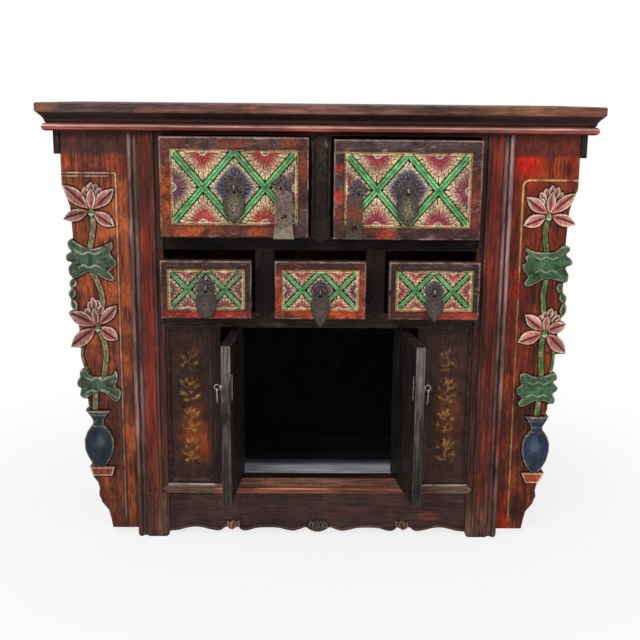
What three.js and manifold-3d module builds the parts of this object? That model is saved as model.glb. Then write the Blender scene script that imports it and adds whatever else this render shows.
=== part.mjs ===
// A carved and lacquered tea cabinet with two large drawers, three small ones and a cupboard below,
// drawn with its drawers pulled out a little and its two doors open.
// Millimetres, +Z up, the front towards -Y. While it is built, Y = 0 is the front plane of the posts.
import * as THREE from "three";
import { mergeVertices } from "three/addons/utils/BufferGeometryUtils.js";
import Module from "manifold-3d";

const wasm = await Module();
wasm.setup();

// Heights of the front, each standing on the one before
const apronTop = 94;
const bottomRailHeight = 20;
const doorSillHeight = 12;
const doorOpeningHeight = 313;
const middleRailHeight = 29;
const smallOpeningHeight = 123;
const upperRailHeight = 26;
const largeOpeningHeight = 191;
const topRailHeight = 5.5;
const mouldingHeight = 34.5;
const topThickness = 17;

// Widths of the front
const bayWidth = 604;
const postWidth = 64;
const centreDividerWidth = 40;
const smallDividerWidth = 37;
const smallDividerSpacing = 214;
const doorOpeningWidth = 385;
const doorStileWidth = 16.5;
const wingWidth = 126;
const endBoardThickness = 10;
const beadReveal = 16;
const topSideOverhang = 10;
const leafDropX = 175;
const leafDropHalf = 11.5;
const centreDropHalf = 25;

// Depths, from the front plane of the posts
const caseDepth = 355;
const postDepth = 42;
const backPostWidth = 50;
const backPostDepth = 40;
const backPanelThickness = 10;
const topBackOverhang = 6;
const topFrontOverhang = 29;
const beadProjection = 18;
const mouldingFrameWidth = 48;
const railSetback = 3;
const railDepth = 30;
const shelfThickness = 12;
const sidePanelThickness = 10;
const sidePanelSetback = 4;
const sideRailWidth = 22;
const sideRailHeight = 25;
const stileDepth = 25;
const panelSetback = 6;
const panelThickness = 14;
const apronSetback = 6;
const apronThickness = 16;
const apronFootClearance = 13;
const wingSetback = 9;
const wingThickness = 21;
const wingFootClearance = 16;
const wingReliefHeight = 6;
const endBoardHeight = 43;

// Drawers
const frontSetback = 2;
const frontThickness = 20;
const frontSideGap = 3;
const leftFrontLift = 4.5;
const rightFrontLift = 1.5;
const smallFrontLift = 2;
const largeFrontHeight = 185;
const smallFrontHeight = 110;
const boxLength = 300;
const boxSideGap = 4;
const boxWall = 9;
const boxFloor = 6;
const largeBoxHeight = 165;
const smallBoxHeight = 92;
const largePullOut = 45;
const smallPullOut = 65;
const carvingDepth = 5;
const largeCarvingMargin = [23, 26];
const smallCarvingMargin = [15.7, 19];
const largeBandWidth = 9;
const smallBandWidth = 6.5;

// Doors, which turn on wooden pins
const doorThickness = 17;
const doorSetback = 4;
const doorGap = 2;
const doorPivotInset = 29.5;
const doorPinRadius = 6;
const doorPinLength = 10;
const leftDoorAngle = 94;
const rightDoorAngle = 98;
const doorBorder = 24;
const doorRecess = 3;
const doorPullHeight = 229;
const doorPullInset = 12;

// Iron fittings
const ironPlate = 2;
const wireRadius = 1.5;
const eyeRadius = 5.5;
const dropThickness = 2.2;
const dropHoleRadius = 3.5;
const dropRim = 3.2;
const shankWidth = 4;
const shankHeight = 5;
const shankHoleRadius = 3.7;
const legReach = 24;
const legThickness = 2;
const roundPlateRadius = 22;
const smallPlateRadius = 17;
const diamondHalf = 21;
const doorPlateRadius = 7;
const haspHole = 10;
const haspLayer = 4;
// The left hasp lies over the right one when both are swung to the divider, so only its foot is bent forward
const leftHasp = {
  inset: 51, rise: 7, layer: haspLayer, shift: 5, width: 32, length: 66, slotDrop: 53,
  footWidth: 38, footLength: 28, footTilt: 20,
};
const rightHasp = {
  inset: 46, rise: 1, layer: 0, shift: 7, width: 30, length: 72, slotDrop: 64,
  footWidth: 33, footLength: 13, footTilt: 0,
};

// Clearances
const seatGap = 0.3;
const slideGap = 0.4;
const pinGap = 0.5;

// Places worked out from the sizes above
const bottomRailTop = apronTop + bottomRailHeight;
const doorSillTop = bottomRailTop + doorSillHeight;
const middleRailFoot = doorSillTop + doorOpeningHeight;
const floorFoot = bottomRailTop - shelfThickness;
const sideFoot = floorFoot - sideRailHeight;
const middleRailTop = middleRailFoot + middleRailHeight;
const upperRailFoot = middleRailTop + smallOpeningHeight;
const upperRailTop = upperRailFoot + upperRailHeight;
const topRailFoot = upperRailTop + largeOpeningHeight;
const postTop = topRailFoot + topRailHeight;
const topFoot = postTop + mouldingHeight;
const bayHalf = bayWidth / 2;
const postOuter = bayHalf + postWidth;
const wingOuter = postOuter + wingWidth;
const beadHalf = wingOuter + endBoardThickness + beadReveal;
const topHalf = beadHalf + topSideOverhang;
const railBack = railSetback + railDepth;
const backPanelBack = caseDepth + backPanelThickness;
const topBack = backPanelBack + topBackOverhang;
const sideInner = postOuter - sidePanelSetback - sidePanelThickness;
const backPostFront = caseDepth - backPostDepth;
const doorHalf = doorOpeningWidth / 2;
const doorWidth = doorHalf - doorGap - doorGap / 2;
const doorPivotX = doorHalf - doorGap - doorPivotInset;
const doorPivotY = doorSetback + doorThickness / 2;
const wingFace = wingSetback - wingReliefHeight;

// One closed body from corner points and triangles, with its faces turned outwards
function bodyOf(points, triangles) {
  const corner = (index) => new THREE.Vector3(...points[index]);
  const volume = triangles.reduce(
    (sum, [a, b, c]) => sum + corner(a).dot(corner(b).cross(corner(c))), 0);
  const facing = volume < 0 ? triangles.map(([a, b, c]) => [a, c, b]) : triangles;
  const geometry = new THREE.BufferGeometry();
  geometry.setAttribute("position", new THREE.Float32BufferAttribute(points.flat(), 3));
  geometry.setIndex(facing.flat());
  return geometry;
}

// The same body on the other side of the middle plane
function mirrored(geometry) {
  const position = geometry.attributes.position;
  const points = [];
  for (let i = 0; i < position.count; i += 1) {
    points.push([-position.getX(i), position.getY(i), position.getZ(i)]);
  }
  const triangles = [];
  for (let i = 0; i < geometry.index.count; i += 3) {
    triangles.push([0, 1, 2].map((k) => geometry.index.getX(i + k)));
  }
  return bodyOf(points, triangles);
}

// A body through a row of rings, closed at each end by a fan to a middle point
function throughRings(rings, start, end) {
  const count = rings[0].length;
  const points = [...rings.flat(), start, end];
  const triangles = [];
  for (let ring = 0; ring + 1 < rings.length; ring += 1) {
    for (let i = 0; i < count; i += 1) {
      const a = ring * count + i;
      const b = ring * count + (i + 1) % count;
      triangles.push([a, b, b + count], [a, b + count, a + count]);
    }
  }
  const last = (rings.length - 1) * count;
  for (let i = 0; i < count; i += 1) {
    const next = (i + 1) % count;
    triangles.push([points.length - 2, next, i], [points.length - 1, last + i, last + next]);
  }
  return bodyOf(points, triangles);
}

// Boolean joins and cuts
function solidOf(geometry) {
  const bare = new THREE.BufferGeometry();
  bare.setAttribute("position", geometry.attributes.position.clone());
  bare.setIndex(geometry.index ? geometry.index.clone() : null);
  const merged = mergeVertices(bare, 1e-4);
  const vertProperties = Float32Array.from(merged.attributes.position.array);
  const triVerts = Uint32Array.from(merged.index.array);
  return new wasm.Manifold(new wasm.Mesh({ numProp: 3, vertProperties, triVerts }));
}

function geometryOf(manifold) {
  const mesh = manifold.getMesh();
  const geometry = new THREE.BufferGeometry();
  geometry.setAttribute("position", new THREE.BufferAttribute(mesh.vertProperties, 3));
  geometry.setIndex(new THREE.BufferAttribute(mesh.triVerts, 1));
  return geometry;
}

const joined = (...parts) => geometryOf(parts.map(solidOf).reduce((all, part) => all.add(part)));

const cut = (body, ...tools) => geometryOf(
  tools.map(solidOf).reduce((rest, tool) => rest.subtract(tool), solidOf(body)));

const common = (body, tool) => geometryOf(solidOf(body).intersect(solidOf(tool)));

// Plain forms
const shapeOf = (points) => new THREE.Shape(points.map(([a, b]) => new THREE.Vector2(a, b)));

const extruded = (points, depth) => new THREE.ExtrudeGeometry(
  shapeOf(points), { depth, bevelEnabled: false });

// An outline in the plane of the front, filled from one depth to the next
const frontPlate = (points, front, back) => extruded(points, back - front)
  .rotateX(Math.PI / 2).translate(0, back, 0);

// An outline that lies flat, filled from one height to the next
const flatPlate = (points, low, high) => extruded(points, high - low).translate(0, 0, low);

// A section of depths and heights that runs along X
const runAlongX = (points, left, right) => extruded(points, right - left)
  .applyMatrix4(new THREE.Matrix4().makeBasis(
    new THREE.Vector3(0, 1, 0), new THREE.Vector3(0, 0, 1), new THREE.Vector3(1, 0, 0)))
  .translate(left, 0, 0);

const block = ([x0, x1], [y0, y1], [z0, z1]) => new THREE.BoxGeometry(x1 - x0, y1 - y0, z1 - z0)
  .translate((x0 + x1) / 2, (y0 + y1) / 2, (z0 + z1) / 2);

// A round bar along Y from one depth to the next
const barAlongY = (radius, front, back, sides = 14) => new THREE.CylinderGeometry(
  radius, radius, back - front, sides).translate(0, (front + back) / 2, 0);

// A round bar along Z
const barAlongZ = (radius, low, high, sides = 16) => new THREE.CylinderGeometry(
  radius, radius, high - low, sides).rotateX(Math.PI / 2).translate(0, 0, (low + high) / 2);

// Points on an arc, with its ends
function arc([cx, cy], radius, from, to, steps) {
  return Array.from({ length: steps + 1 }, (_, i) => {
    const angle = THREE.MathUtils.degToRad(from + (to - from) * i / steps);
    return [cx + radius * Math.cos(angle), cy + radius * Math.sin(angle)];
  });
}

// A shallow rectangular recess with mitred slopes, to be cut from a face at a depth
function slopedRecess([x0, x1], [z0, z1], face, depth, slope) {
  const rectangle = (grow, y) => [
    [x0 - grow, y, z0 - grow], [x1 + grow, y, z0 - grow],
    [x1 + grow, y, z1 + grow], [x0 - grow, y, z1 + grow]];
  const middle = [(x0 + x1) / 2, (z0 + z1) / 2];
  const outside = face - depth;
  return throughRings(
    [rectangle(slope, outside), rectangle(slope, face), rectangle(0, face + depth)],
    [middle[0], outside, middle[1]], [middle[0], face + depth, middle[1]]);
}

// Materials
const woodOf = (color, roughness = 0.5) => new THREE.MeshStandardMaterial({ color, roughness, metalness: 0 });
const darkTop = woodOf(0x4a3631);
const blackLacquer = woodOf(0x1d1614);
const redLacquer = woodOf(0x6e2219);
const brownLacquer = woodOf(0x3d211b);
const carvedRed = woodOf(0x8a3a1c);
const carvedGreen = woodOf(0x4e6b4a);
const bareWood = woodOf(0x7a5a40, 0.8);
const darkIron = new THREE.MeshStandardMaterial({ color: 0x3a322f, roughness: 0.55, metalness: 0.8 });

const cabinet = new THREE.Group();

function place(name, geometry, material, group = cabinet) {
  const mesh = new THREE.Mesh(geometry, material);
  mesh.name = name;
  group.add(mesh);
  return mesh;
}

// Top board: a slab with rounded corners and eased edges
function topBoard() {
  const ease = 3;
  const corner = 4;
  const x = topHalf - ease;
  const y0 = -topFrontOverhang + ease;
  const y1 = topBack - ease;
  const outline = [
    ...arc([x - corner, y0 + corner], corner, -90, 0, 3),
    ...arc([x - corner, y1 - corner], corner, 0, 90, 3),
    ...arc([-x + corner, y1 - corner], corner, 90, 180, 3),
    ...arc([-x + corner, y0 + corner], corner, 180, 270, 3)];
  return new THREE.ExtrudeGeometry(shapeOf(outline), {
    depth: topThickness - 2 * ease, bevelSize: ease, bevelThickness: ease, bevelSegments: 2,
  }).translate(0, 0, topFoot + ease);
}

// Moulding under the top: a cove above a bead, mitred round a frame
function topMoulding() {
  const beadRadius = 7.5;
  const coveNarrow = 5;
  const coveFoot = postTop + 2 * beadRadius + 2.5;
  const lipFoot = topFoot - 7;
  const overBead = 7;
  const section = [
    [-mouldingFrameWidth, postTop], [-beadRadius, postTop],
    ...arc([-beadRadius, postTop + beadRadius], beadRadius, -60, 60, 4),
    [-beadRadius, postTop + 2 * beadRadius], [-coveNarrow, coveFoot],
    [-coveNarrow + 1, coveFoot + 5], [0, lipFoot], [overBead, topFoot], [-mouldingFrameWidth, topFoot]];
  const corners = [[1, -1], [1, 1], [-1, 1], [-1, -1]];
  const front = -beadProjection;
  const ringAt = ([sx, sy]) => section.map(([out, z]) => [
    sx * (beadHalf + out), sy < 0 ? front - out : topBack - overBead + out, z]);
  const rings = corners.map(ringAt);
  const count = section.length;
  const triangles = [];
  for (let side = 0; side < 4; side += 1) {
    for (let i = 0; i < count; i += 1) {
      const a = side * count + i;
      const b = side * count + (i + 1) % count;
      const c = ((side + 1) % 4) * count + (i + 1) % count;
      const d = ((side + 1) % 4) * count + i;
      triangles.push([a, b, c], [a, c, d]);
    }
  }
  return bodyOf(rings.flat(), triangles);
}

// Front post on the right: outer bead, groove, flat field and inner bead over a plain rounded foot
function frontPost() {
  const outerBead = 5.5;
  const innerBead = 4.5;
  const innerBeadCentre = 48.5;
  const grooveDepth = 6;
  const grooveEnd = 20;
  const fieldDepth = 2;
  const footFace = 1;
  const footCorner = 8;
  const outerSide = [
    [0, outerBead], ...arc([outerBead, outerBead], outerBead, 180, 360, 5).slice(1, -1),
    [2 * outerBead, outerBead], [2 * outerBead, grooveDepth], [grooveEnd, grooveDepth]];
  const innerSide = [
    [innerBeadCentre - innerBead, fieldDepth],
    ...arc([innerBeadCentre, innerBead], innerBead, 210, 330, 4),
    [innerBeadCentre + innerBead, railSetback], [postWidth, railSetback]];
  const upright = (face, low, high) => {
    const section = [...outerSide, ...face, [postWidth, postDepth], [0, postDepth]];
    return flatPlate(section.map(([distance, y]) => [postOuter - distance, y]), low, high);
  };
  const moulded = upright([[grooveEnd + 1, fieldDepth], ...innerSide], apronTop, postTop);
  const foot = upright([[grooveEnd + 1, footFace], [postWidth, footFace]], 0, apronTop);
  const rounded = frontPlate([
    ...arc([bayHalf + footCorner, footCorner], footCorner, 180, 270, 3),
    ...arc([postOuter - footCorner, footCorner], footCorner, 270, 360, 3),
    [postOuter, postTop], [bayHalf, postTop]], -5, postDepth + 5);
  return common(joined(moulded, foot), rounded);
}

// The pointed end of a divider's face, and the notch in the rail that takes it
const pointThickness = 6;
const pointDrop = 10;
const topPointRise = 4;

function shoulderNotch(x, width, edge, reach) {
  const half = width / 2 + seatGap;
  const beyond = Math.sign(reach) * 2;
  const tip = edge + reach + Math.sign(reach) * seatGap * 1.5;
  return frontPlate(
    [[x - half, edge - beyond], [x + half, edge - beyond], [x + half, edge], [x, tip], [x - half, edge]],
    railSetback - 5, railSetback + pointThickness + seatGap);
}

function divider(x, width, low, high, topReach, fieldFoot) {
  const half = width / 2;
  const body = block([x - half, x + half], [railSetback, railBack], [low, high]);
  const top = topReach ? [[x + half, high], [x, high + topReach], [x - half, high]]
    : [[x + half, high], [x - half, high]];
  const face = frontPlate(
    [[x - half, low], [x, low - pointDrop], [x + half, low], ...top],
    railSetback, railSetback + pointThickness);
  const fieldHalf = half - 10;
  const fieldTop = high - 6;
  const field = frontPlate([
    [x, fieldFoot - fieldHalf], [x + fieldHalf, fieldFoot], [x + fieldHalf, fieldTop],
    [x - fieldHalf, fieldTop], [x - fieldHalf, fieldFoot]], railSetback - 2, railSetback + 2);
  return cut(joined(body, face), field);
}

// A rail between the posts with a sunk band between two beads
function beadedRail(low, high) {
  const bead = 5;
  const sink = 1.5;
  return runAlongX([
    [railSetback, low], [railBack, low], [railBack, high], [railSetback, high], [railSetback, high - bead],
    [railSetback + sink, high - bead - 1], [railSetback + sink, low + bead + 1], [railSetback, low + bead]],
  -bayHalf, bayHalf);
}

const pivotBore = (side, low, high) => barAlongZ(doorPinRadius + pinGap, low, high)
  .translate(side * doorPivotX, doorPivotY, 0);

const dividerX = [-smallDividerSpacing / 2, smallDividerSpacing / 2];

function upperRail() {
  return cut(beadedRail(upperRailFoot, upperRailTop),
    shoulderNotch(0, centreDividerWidth, upperRailTop, -pointDrop));
}

function middleRail() {
  const boreDepth = doorPinLength + 2;
  return cut(beadedRail(middleRailFoot, middleRailTop),
    ...dividerX.map((x) => shoulderNotch(x, smallDividerWidth, middleRailTop, -pointDrop)),
    pivotBore(-1, middleRailFoot - 5, middleRailFoot + boreDepth),
    pivotBore(1, middleRailFoot - 5, middleRailFoot + boreDepth));
}

function topRail() {
  const plain = block([-bayHalf, bayHalf], [railSetback, railBack], [topRailFoot, postTop]);
  return cut(plain, shoulderNotch(0, centreDividerWidth, topRailFoot, topPointRise));
}

// Bottom rail: a band across the front with the sill of the door opening standing on it
function bottomRail() {
  const ease = 2;
  const sillFace = railSetback - 1;
  const rooted = 3;
  const band = [
    [railBack, apronTop], [railBack, bottomRailTop], [ease, bottomRailTop], [0, bottomRailTop - ease],
    [0, apronTop + ease], [ease, apronTop]];
  const sill = [
    [railBack, bottomRailTop - rooted], [railBack, doorSillTop], [sillFace + 1, doorSillTop],
    [sillFace, doorSillTop - 1], [sillFace, bottomRailTop - rooted]];
  const boreFoot = doorSillTop - doorPinLength - 2;
  return cut(joined(runAlongX(band, -bayHalf, bayHalf), runAlongX(sill, -doorHalf, doorHalf)),
    pivotBore(-1, boreFoot, doorSillTop + 5), pivotBore(1, boreFoot, doorSillTop + 5));
}

// Apron: the lower edge runs in waves, with a round drop in the middle and a leaf on each side
// Each wave is a row of shares of the way out and heights over the mean edge
const innerWave = [
  [0.08, 0.5], [0.18, -2.5], [0.29, -0.5], [0.4, 2.5], [0.56, 3.2], [0.72, 2.2],
  [0.81, -0.8], [0.9, -2.5], [0.96, 0], [1, 4]];
const outerWave = [
  [0, 4], [0.07, 0], [0.14, -2.5], [0.28, -0.5], [0.42, 2.8], [0.56, 4],
  [0.7, 2], [0.82, -1.2], [0.91, -2.5], [1, -3]];

function apronEdge() {
  const wave = (points, from, to) => points.map(([share, rise]) => [
    from + (to - from) * share, apronFootClearance + rise]);
  const half = [
    [0, apronFootClearance - 4.5], [8, apronFootClearance - 3.5], [16, apronFootClearance - 0.5],
    [centreDropHalf, apronFootClearance + 3.5],
    ...wave(innerWave, centreDropHalf, leafDropX - leafDropHalf),
    [leafDropX, apronFootClearance - 0.5],
    ...wave(outerWave, leafDropX + leafDropHalf, bayHalf)];
  const other = half.slice(1).map(([x, z]) => [-x, z]).reverse();
  return [...other, ...half];
}

function apron() {
  const plate = frontPlate([...apronEdge(), [bayHalf, apronTop], [-bayHalf, apronTop]],
    apronSetback, apronSetback + apronThickness);
  const carvedTop = apronFootClearance + 34;
  const hanging = (base, tip, width) => petal(
    base, tip, width, apronSetback + 4, apronSetback - 1, apronSetback - 3, 1.6);
  const leaf = (x, lean) => hanging([x - lean * 16, carvedTop], [x, apronFootClearance - 0.5], 26);
  const drop = hanging([0, carvedTop], [0, apronFootClearance - 4.5], 40);
  return joined(plate, leaf(-leafDropX, -1), leaf(leafDropX, 1), drop);
}

// A mound over an outline: upright to its rim, then drawn in to a top over its centre
function mound(outline, centre, back, rim, top, shoulder = 0.6) {
  const ring = (scale, y) => outline.map(([u, z]) => [
    centre[0] + (u - centre[0]) * scale, y, centre[1] + (z - centre[1]) * scale]);
  const rise = top + (rim - top) * 0.2;
  const rings = [ring(1, back), ring(1, rim), ...(shoulder ? [ring(shoulder, rise)] : [])];
  return throughRings(rings, [centre[0], back, centre[1]], [centre[0], top, centre[1]]);
}

// Petal: a lens from its base to its tip, widest past the middle where bulge is over 1
function petal(base, tip, width, back, rim, top, bulge = 1.2, steps = 4, shoulder = 0.6) {
  const [du, dz] = [tip[0] - base[0], tip[1] - base[1]];
  const length = Math.hypot(du, dz);
  const side = (sign) => Array.from({ length: steps }, (_, i) => {
    const t = (i + 1) / (steps + 1);
    const half = sign * width / 2 * Math.sin(Math.PI * t ** bulge) / length;
    return [base[0] + du * t - dz * half, base[1] + dz * t + du * half];
  });
  const outline = [base, ...side(1), tip, ...side(-1).reverse()];
  return mound(outline, [base[0] + du * 0.55, base[1] + dz * 0.55], back, rim, top, shoulder);
}

// Stem: a round bar along a curve through points of the carved face
function stem(points, radius, y, steps = 5) {
  const curve = new THREE.CatmullRomCurve3(points.map(([u, z]) => new THREE.Vector3(u, y, z)));
  const section = shapeOf(arc([0, 0], radius, 0, 300, 5));
  return new THREE.ExtrudeGeometry(section, { steps, extrudePath: curve, bevelEnabled: false });
}

// Carving of a wing. u is the distance outwards from the post and the second value the height.
const lotuses = [
  { heart: [72, 667], centre: [73, 707], centreWidth: 20,
    side: [[[125, 707], 27], [[25.5, 701], 25], [[126, 645], 24], [[25.5, 640], 23]],
    crown: [[95, 701], [86, 710], [71, 718], [58, 713], [50, 704]] },
  { heart: [70, 434], centre: [75, 472], centreWidth: 18,
    side: [[[122, 463], 28], [[34, 475], 24], [[122, 395], 27], [[28, 412], 27]],
    crown: [[95, 469], [90, 482], [81, 491], [66, 484], [52, 472]] },
];
const leaves = [
  { centre: [76, 568], lobes: [[120, 604], [125, 572], [120, 541], [34, 602], [29, 564], [33, 527]] },
  { centre: [70, 318], lobes: [[107, 347], [114, 317], [107, 291], [37, 348], [30, 317], [34, 285]] },
];
const stems = [
  [[72, 664], [70, 632], [77, 594]], [[76, 544], [60, 504], [66, 469]],
  [[70, 428], [66, 389], [71, 344]], [[86, 294], [72, 266]],
];
const vines = [[[100, 534], [112, 509], [114, 484], [108, 466]], [[98, 402], [95, 372], [86, 349]]];
const wingEdge = [
  [wingWidth, 713], [112, 672], [109, 618], [108, 564], [109, 512], [110, 474], [104, 429], [96, 369],
  [96, 324], [92, 272], [84, 236], [90, 194], [86, 152], [80, 116], [78, 84], [62, 56], [57, 34], [51, 4]];
const vaseProfile = [
  [17, 140], [21, 147], [27, 169], [29, 193], [25, 214], [14, 230], [13, 240], [22, 260], [24, 265]];
const vaseCentre = 75;
const vaseFlatness = 0.32;
const wingBorder = 24;
const wingBorderTop = 735;
const vaseStand = [[54, 122], [85, 122], [94, 146], [44, 146]];
const stemRadius = 4.5;

// Carving that stands past the edge of the ground goes through the board; the rest is rooted in its face
const rootAt = (u) => (u > 98 ? wingSetback + wingThickness : wingSetback + 3);

function lotus({ heart, centre, centreWidth, side, crown }) {
  const rim = wingSetback - 3;
  const bud = (tip) => petal([heart[0] + (tip[0] - heart[0]) * 0.3, heart[1] + 12], tip, 15,
    rootAt(0), rim + 1.5, rim, 1.4, 3, 0);
  const behind = (tip, reach) => heart.map((value, axis) => value - (tip[axis] - value) * reach);
  const outer = ([tip, width]) => petal(behind(tip, 0.08), tip, width, rootAt(tip[0]), rim, wingFace, 1.15);
  const middle = petal(behind(centre, 0.15), centre, centreWidth, rootAt(0), rim, wingFace - 0.5, 1.2, 3);
  const calyx = petal([heart[0], heart[1] - 12], [heart[0], heart[1] + 6], 15,
    rootAt(0), rim, wingFace + 0.5, 1, 3);
  return [...crown.map(bud), ...side.map(outer), middle, calyx];
}

function leaf({ centre, lobes }) {
  const lobe = (tip) => petal([centre[0] + (centre[0] - tip[0]) * 0.25, centre[1]], tip, 36,
    rootAt(tip[0]), wingSetback - 2.5, wingFace + 0.5, 2.1, 4, 0);
  return lobes.map(lobe);
}

// Vase: a turned form flattened into the board
function vase() {
  const outline = [[0, vaseProfile[0][1]], ...vaseProfile, [0, vaseProfile.at(-1)[1]]];
  return new THREE.LatheGeometry(outline.map(([r, z]) => new THREE.Vector2(r, z)), 14)
    .rotateX(Math.PI / 2).scale(1, vaseFlatness, 1).translate(vaseCentre, wingSetback + 2, 0);
}

function wing() {
  const back = wingSetback + wingThickness;
  const edge = wingEdge.map(([u, z]) => [u, Math.max(z, wingFootClearance)]);
  const ground = frontPlate([[0, wingFootClearance], ...edge.reverse(), [wingWidth, postTop], [0, postTop]],
    wingSetback, back);
  const stand = frontPlate(vaseStand, wingSetback - 4, back);
  const borderHalf = 3;
  const borderFace = wingSetback - 2;
  const upright = block([wingBorder - borderHalf, wingBorder + borderHalf], [borderFace, wingSetback + 4],
    [wingFootClearance + 40, wingBorderTop]);
  const across = block([wingBorder - borderHalf, wingWidth], [borderFace, wingSetback + 4],
    [wingBorderTop - borderHalf, wingBorderTop + borderHalf]);
  const carving = [
    ...lotuses.flatMap(lotus), ...leaves.flatMap(leaf), vase(), stand, upright, across,
    ...stems.map((points) => stem(points, stemRadius, wingSetback - 1)),
    ...vines.map((points) => stem(points, stemRadius - 1, wingSetback + 2, 6))];
  return joined(ground, ...carving).translate(postOuter, 0, 0);
}

// Board that closes the overhang of the top at each end
const endBoard = () => block([wingOuter, wingOuter + endBoardThickness], [railSetback, caseDepth],
  [postTop - endBoardHeight, postTop]);

// Shelf or floor, notched round the four posts
function shelf(high, front = railBack) {
  const x = sideInner - seatGap;
  const innerFront = bayHalf - seatGap;
  const innerBack = postOuter - backPostWidth - seatGap;
  const y1 = postDepth + seatGap;
  const y2 = backPostFront - seatGap;
  const half = [
    [innerFront, front], [innerFront, y1], [x, y1], [x, y2], [innerBack, y2], [innerBack, caseDepth]];
  const other = half.map(([px, py]) => [-px, py]).reverse();
  return flatPlate([...half, ...other], high - shelfThickness, high);
}

// Eye of bent wire with a shank through the wood and two legs bent flat on the far side.
// The face of the wood is at y = 0 and the eye's middle is at x = 0, z = 0.
const eyeStand = eyeRadius + wireRadius - 0.5;
const eyeY = -seatGap - ironPlate - eyeStand;

function cotter(woodThickness, sink, extra = 0) {
  const eye = new THREE.TorusGeometry(eyeRadius, wireRadius, 5, 9).rotateY(Math.PI / 2)
    .translate(0, eyeY - extra, 0);
  const shankFront = eyeY - extra + eyeRadius - 0.5;
  const legsFront = woodThickness + seatGap - sink;
  const shank = block([-shankWidth / 2, shankWidth / 2], [shankFront, legsFront + legThickness],
    [-shankHeight / 2, shankHeight / 2]);
  const legs = block([-shankWidth / 2, shankWidth / 2], [legsFront, legsFront + legThickness],
    [-legReach, legReach]);
  return [eye, shank, legs];
}

const plateFace = -seatGap - ironPlate;

const roundPlate = (radius) => barAlongY(radius, plateFace, -seatGap, 14);

const diamondPlate = (half) => frontPlate([[-half, 0], [0, -half], [half, 0], [0, half]], plateFace, -seatGap);

// Iron drop: its outline hangs below the eye, and its top is a ring on the wire
const holeDrop = eyeRadius + 1.5;
const dropAxisDrop = holeDrop - dropHoleRadius - dropRim / 2;

function drop(outline, extra = 0) {
  const middle = eyeY - extra;
  const ring = barAlongY(dropHoleRadius + dropRim, middle - dropThickness / 2, middle + dropThickness / 2, 12)
    .translate(0, 0, -holeDrop);
  const plate = frontPlate(outline, middle - dropThickness / 2, middle + dropThickness / 2);
  const hole = barAlongY(dropHoleRadius, middle - dropThickness, middle + dropThickness, 12)
    .translate(0, 0, -holeDrop);
  return cut(joined(ring, plate), hole);
}

const bothSides = (half) => [...half, ...half.slice(1, -1).map(([x, z]) => [-x, z]).reverse()];

const teardrop = bothSides([
  [0, -4], [7, -6], [14, -12], [20, -22], [21.5, -32], [19, -44], [13, -54], [6, -62], [0, -67]]);
const leafDrop = bothSides([
  [0, -4], [8, -7], [15, -14], [18.8, -24], [17, -34], [11, -44], [5, -52], [0, -59]]);
const strapDrop = bothSides([
  [0, -4], [7, -6], [15, -10], [19, -20], [19.5, -34], [17, -46], [11, -55], [0, -59]]);
const lanceDrop = bothSides([
  [0, -4], [8, -6], [15, -12], [18.5, -22], [18, -32], [14, -46], [8, -58], [0, -69]]);
const slenderDrop = bothSides([[0, -6], [3, -9], [4, -16], [3, -25], [0, -31]]);

// Hasp strap with a square hole and a foot for the finger. It hangs a little to one side of its ring.
function haspStrap({ layer, shift, width, length, slotDrop, footWidth, footLength, footTilt }) {
  const middle = eyeY - layer;
  const [left, right] = [shift - width / 2, shift + width / 2];
  const [footLeft, footRight] = [shift - footWidth / 2, shift + footWidth / 2];
  const foot = -holeDrop - length;
  const strap = drop([[-6, -holeDrop], [6, -holeDrop], [right, -holeDrop - 12], [right, foot],
    [left, foot], [left, -holeDrop - 12]], layer);
  const bent = frontPlate([[left, 1], [right, 1], [footRight, -footLength], [footLeft, -footLength]],
    -dropThickness / 2, dropThickness / 2)
    .rotateX(-THREE.MathUtils.degToRad(footTilt)).translate(0, middle, foot);
  const slotZ = -holeDrop - slotDrop;
  const slot = block([shift - haspHole / 2, shift + haspHole / 2], [middle - 5, middle + 5],
    [slotZ - haspHole / 2, slotZ + haspHole / 2]);
  return cut(joined(strap, bent), slot);
}

// Flower that fills one diamond of the lattice; its petals are scallops round the edge
function diamondFlower([cx, cz], halfWidth, halfHeight, petals, back, rim, top) {
  const roundness = 1.3;
  const steps = 2 * petals;
  const outline = Array.from({ length: steps }, (_, i) => {
    const angle = 2 * Math.PI * i / steps;
    const x = Math.abs(Math.cos(angle) / halfWidth) ** roundness;
    const z = Math.abs(Math.sin(angle) / halfHeight) ** roundness;
    const radius = (x + z) ** (-1 / roundness) * (i % 2 ? 0.88 : 1);
    return [cx + radius * Math.cos(angle), cz + radius * Math.sin(angle)];
  });
  return mound(outline, [cx, cz], back, rim, top, 0.5);
}

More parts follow.
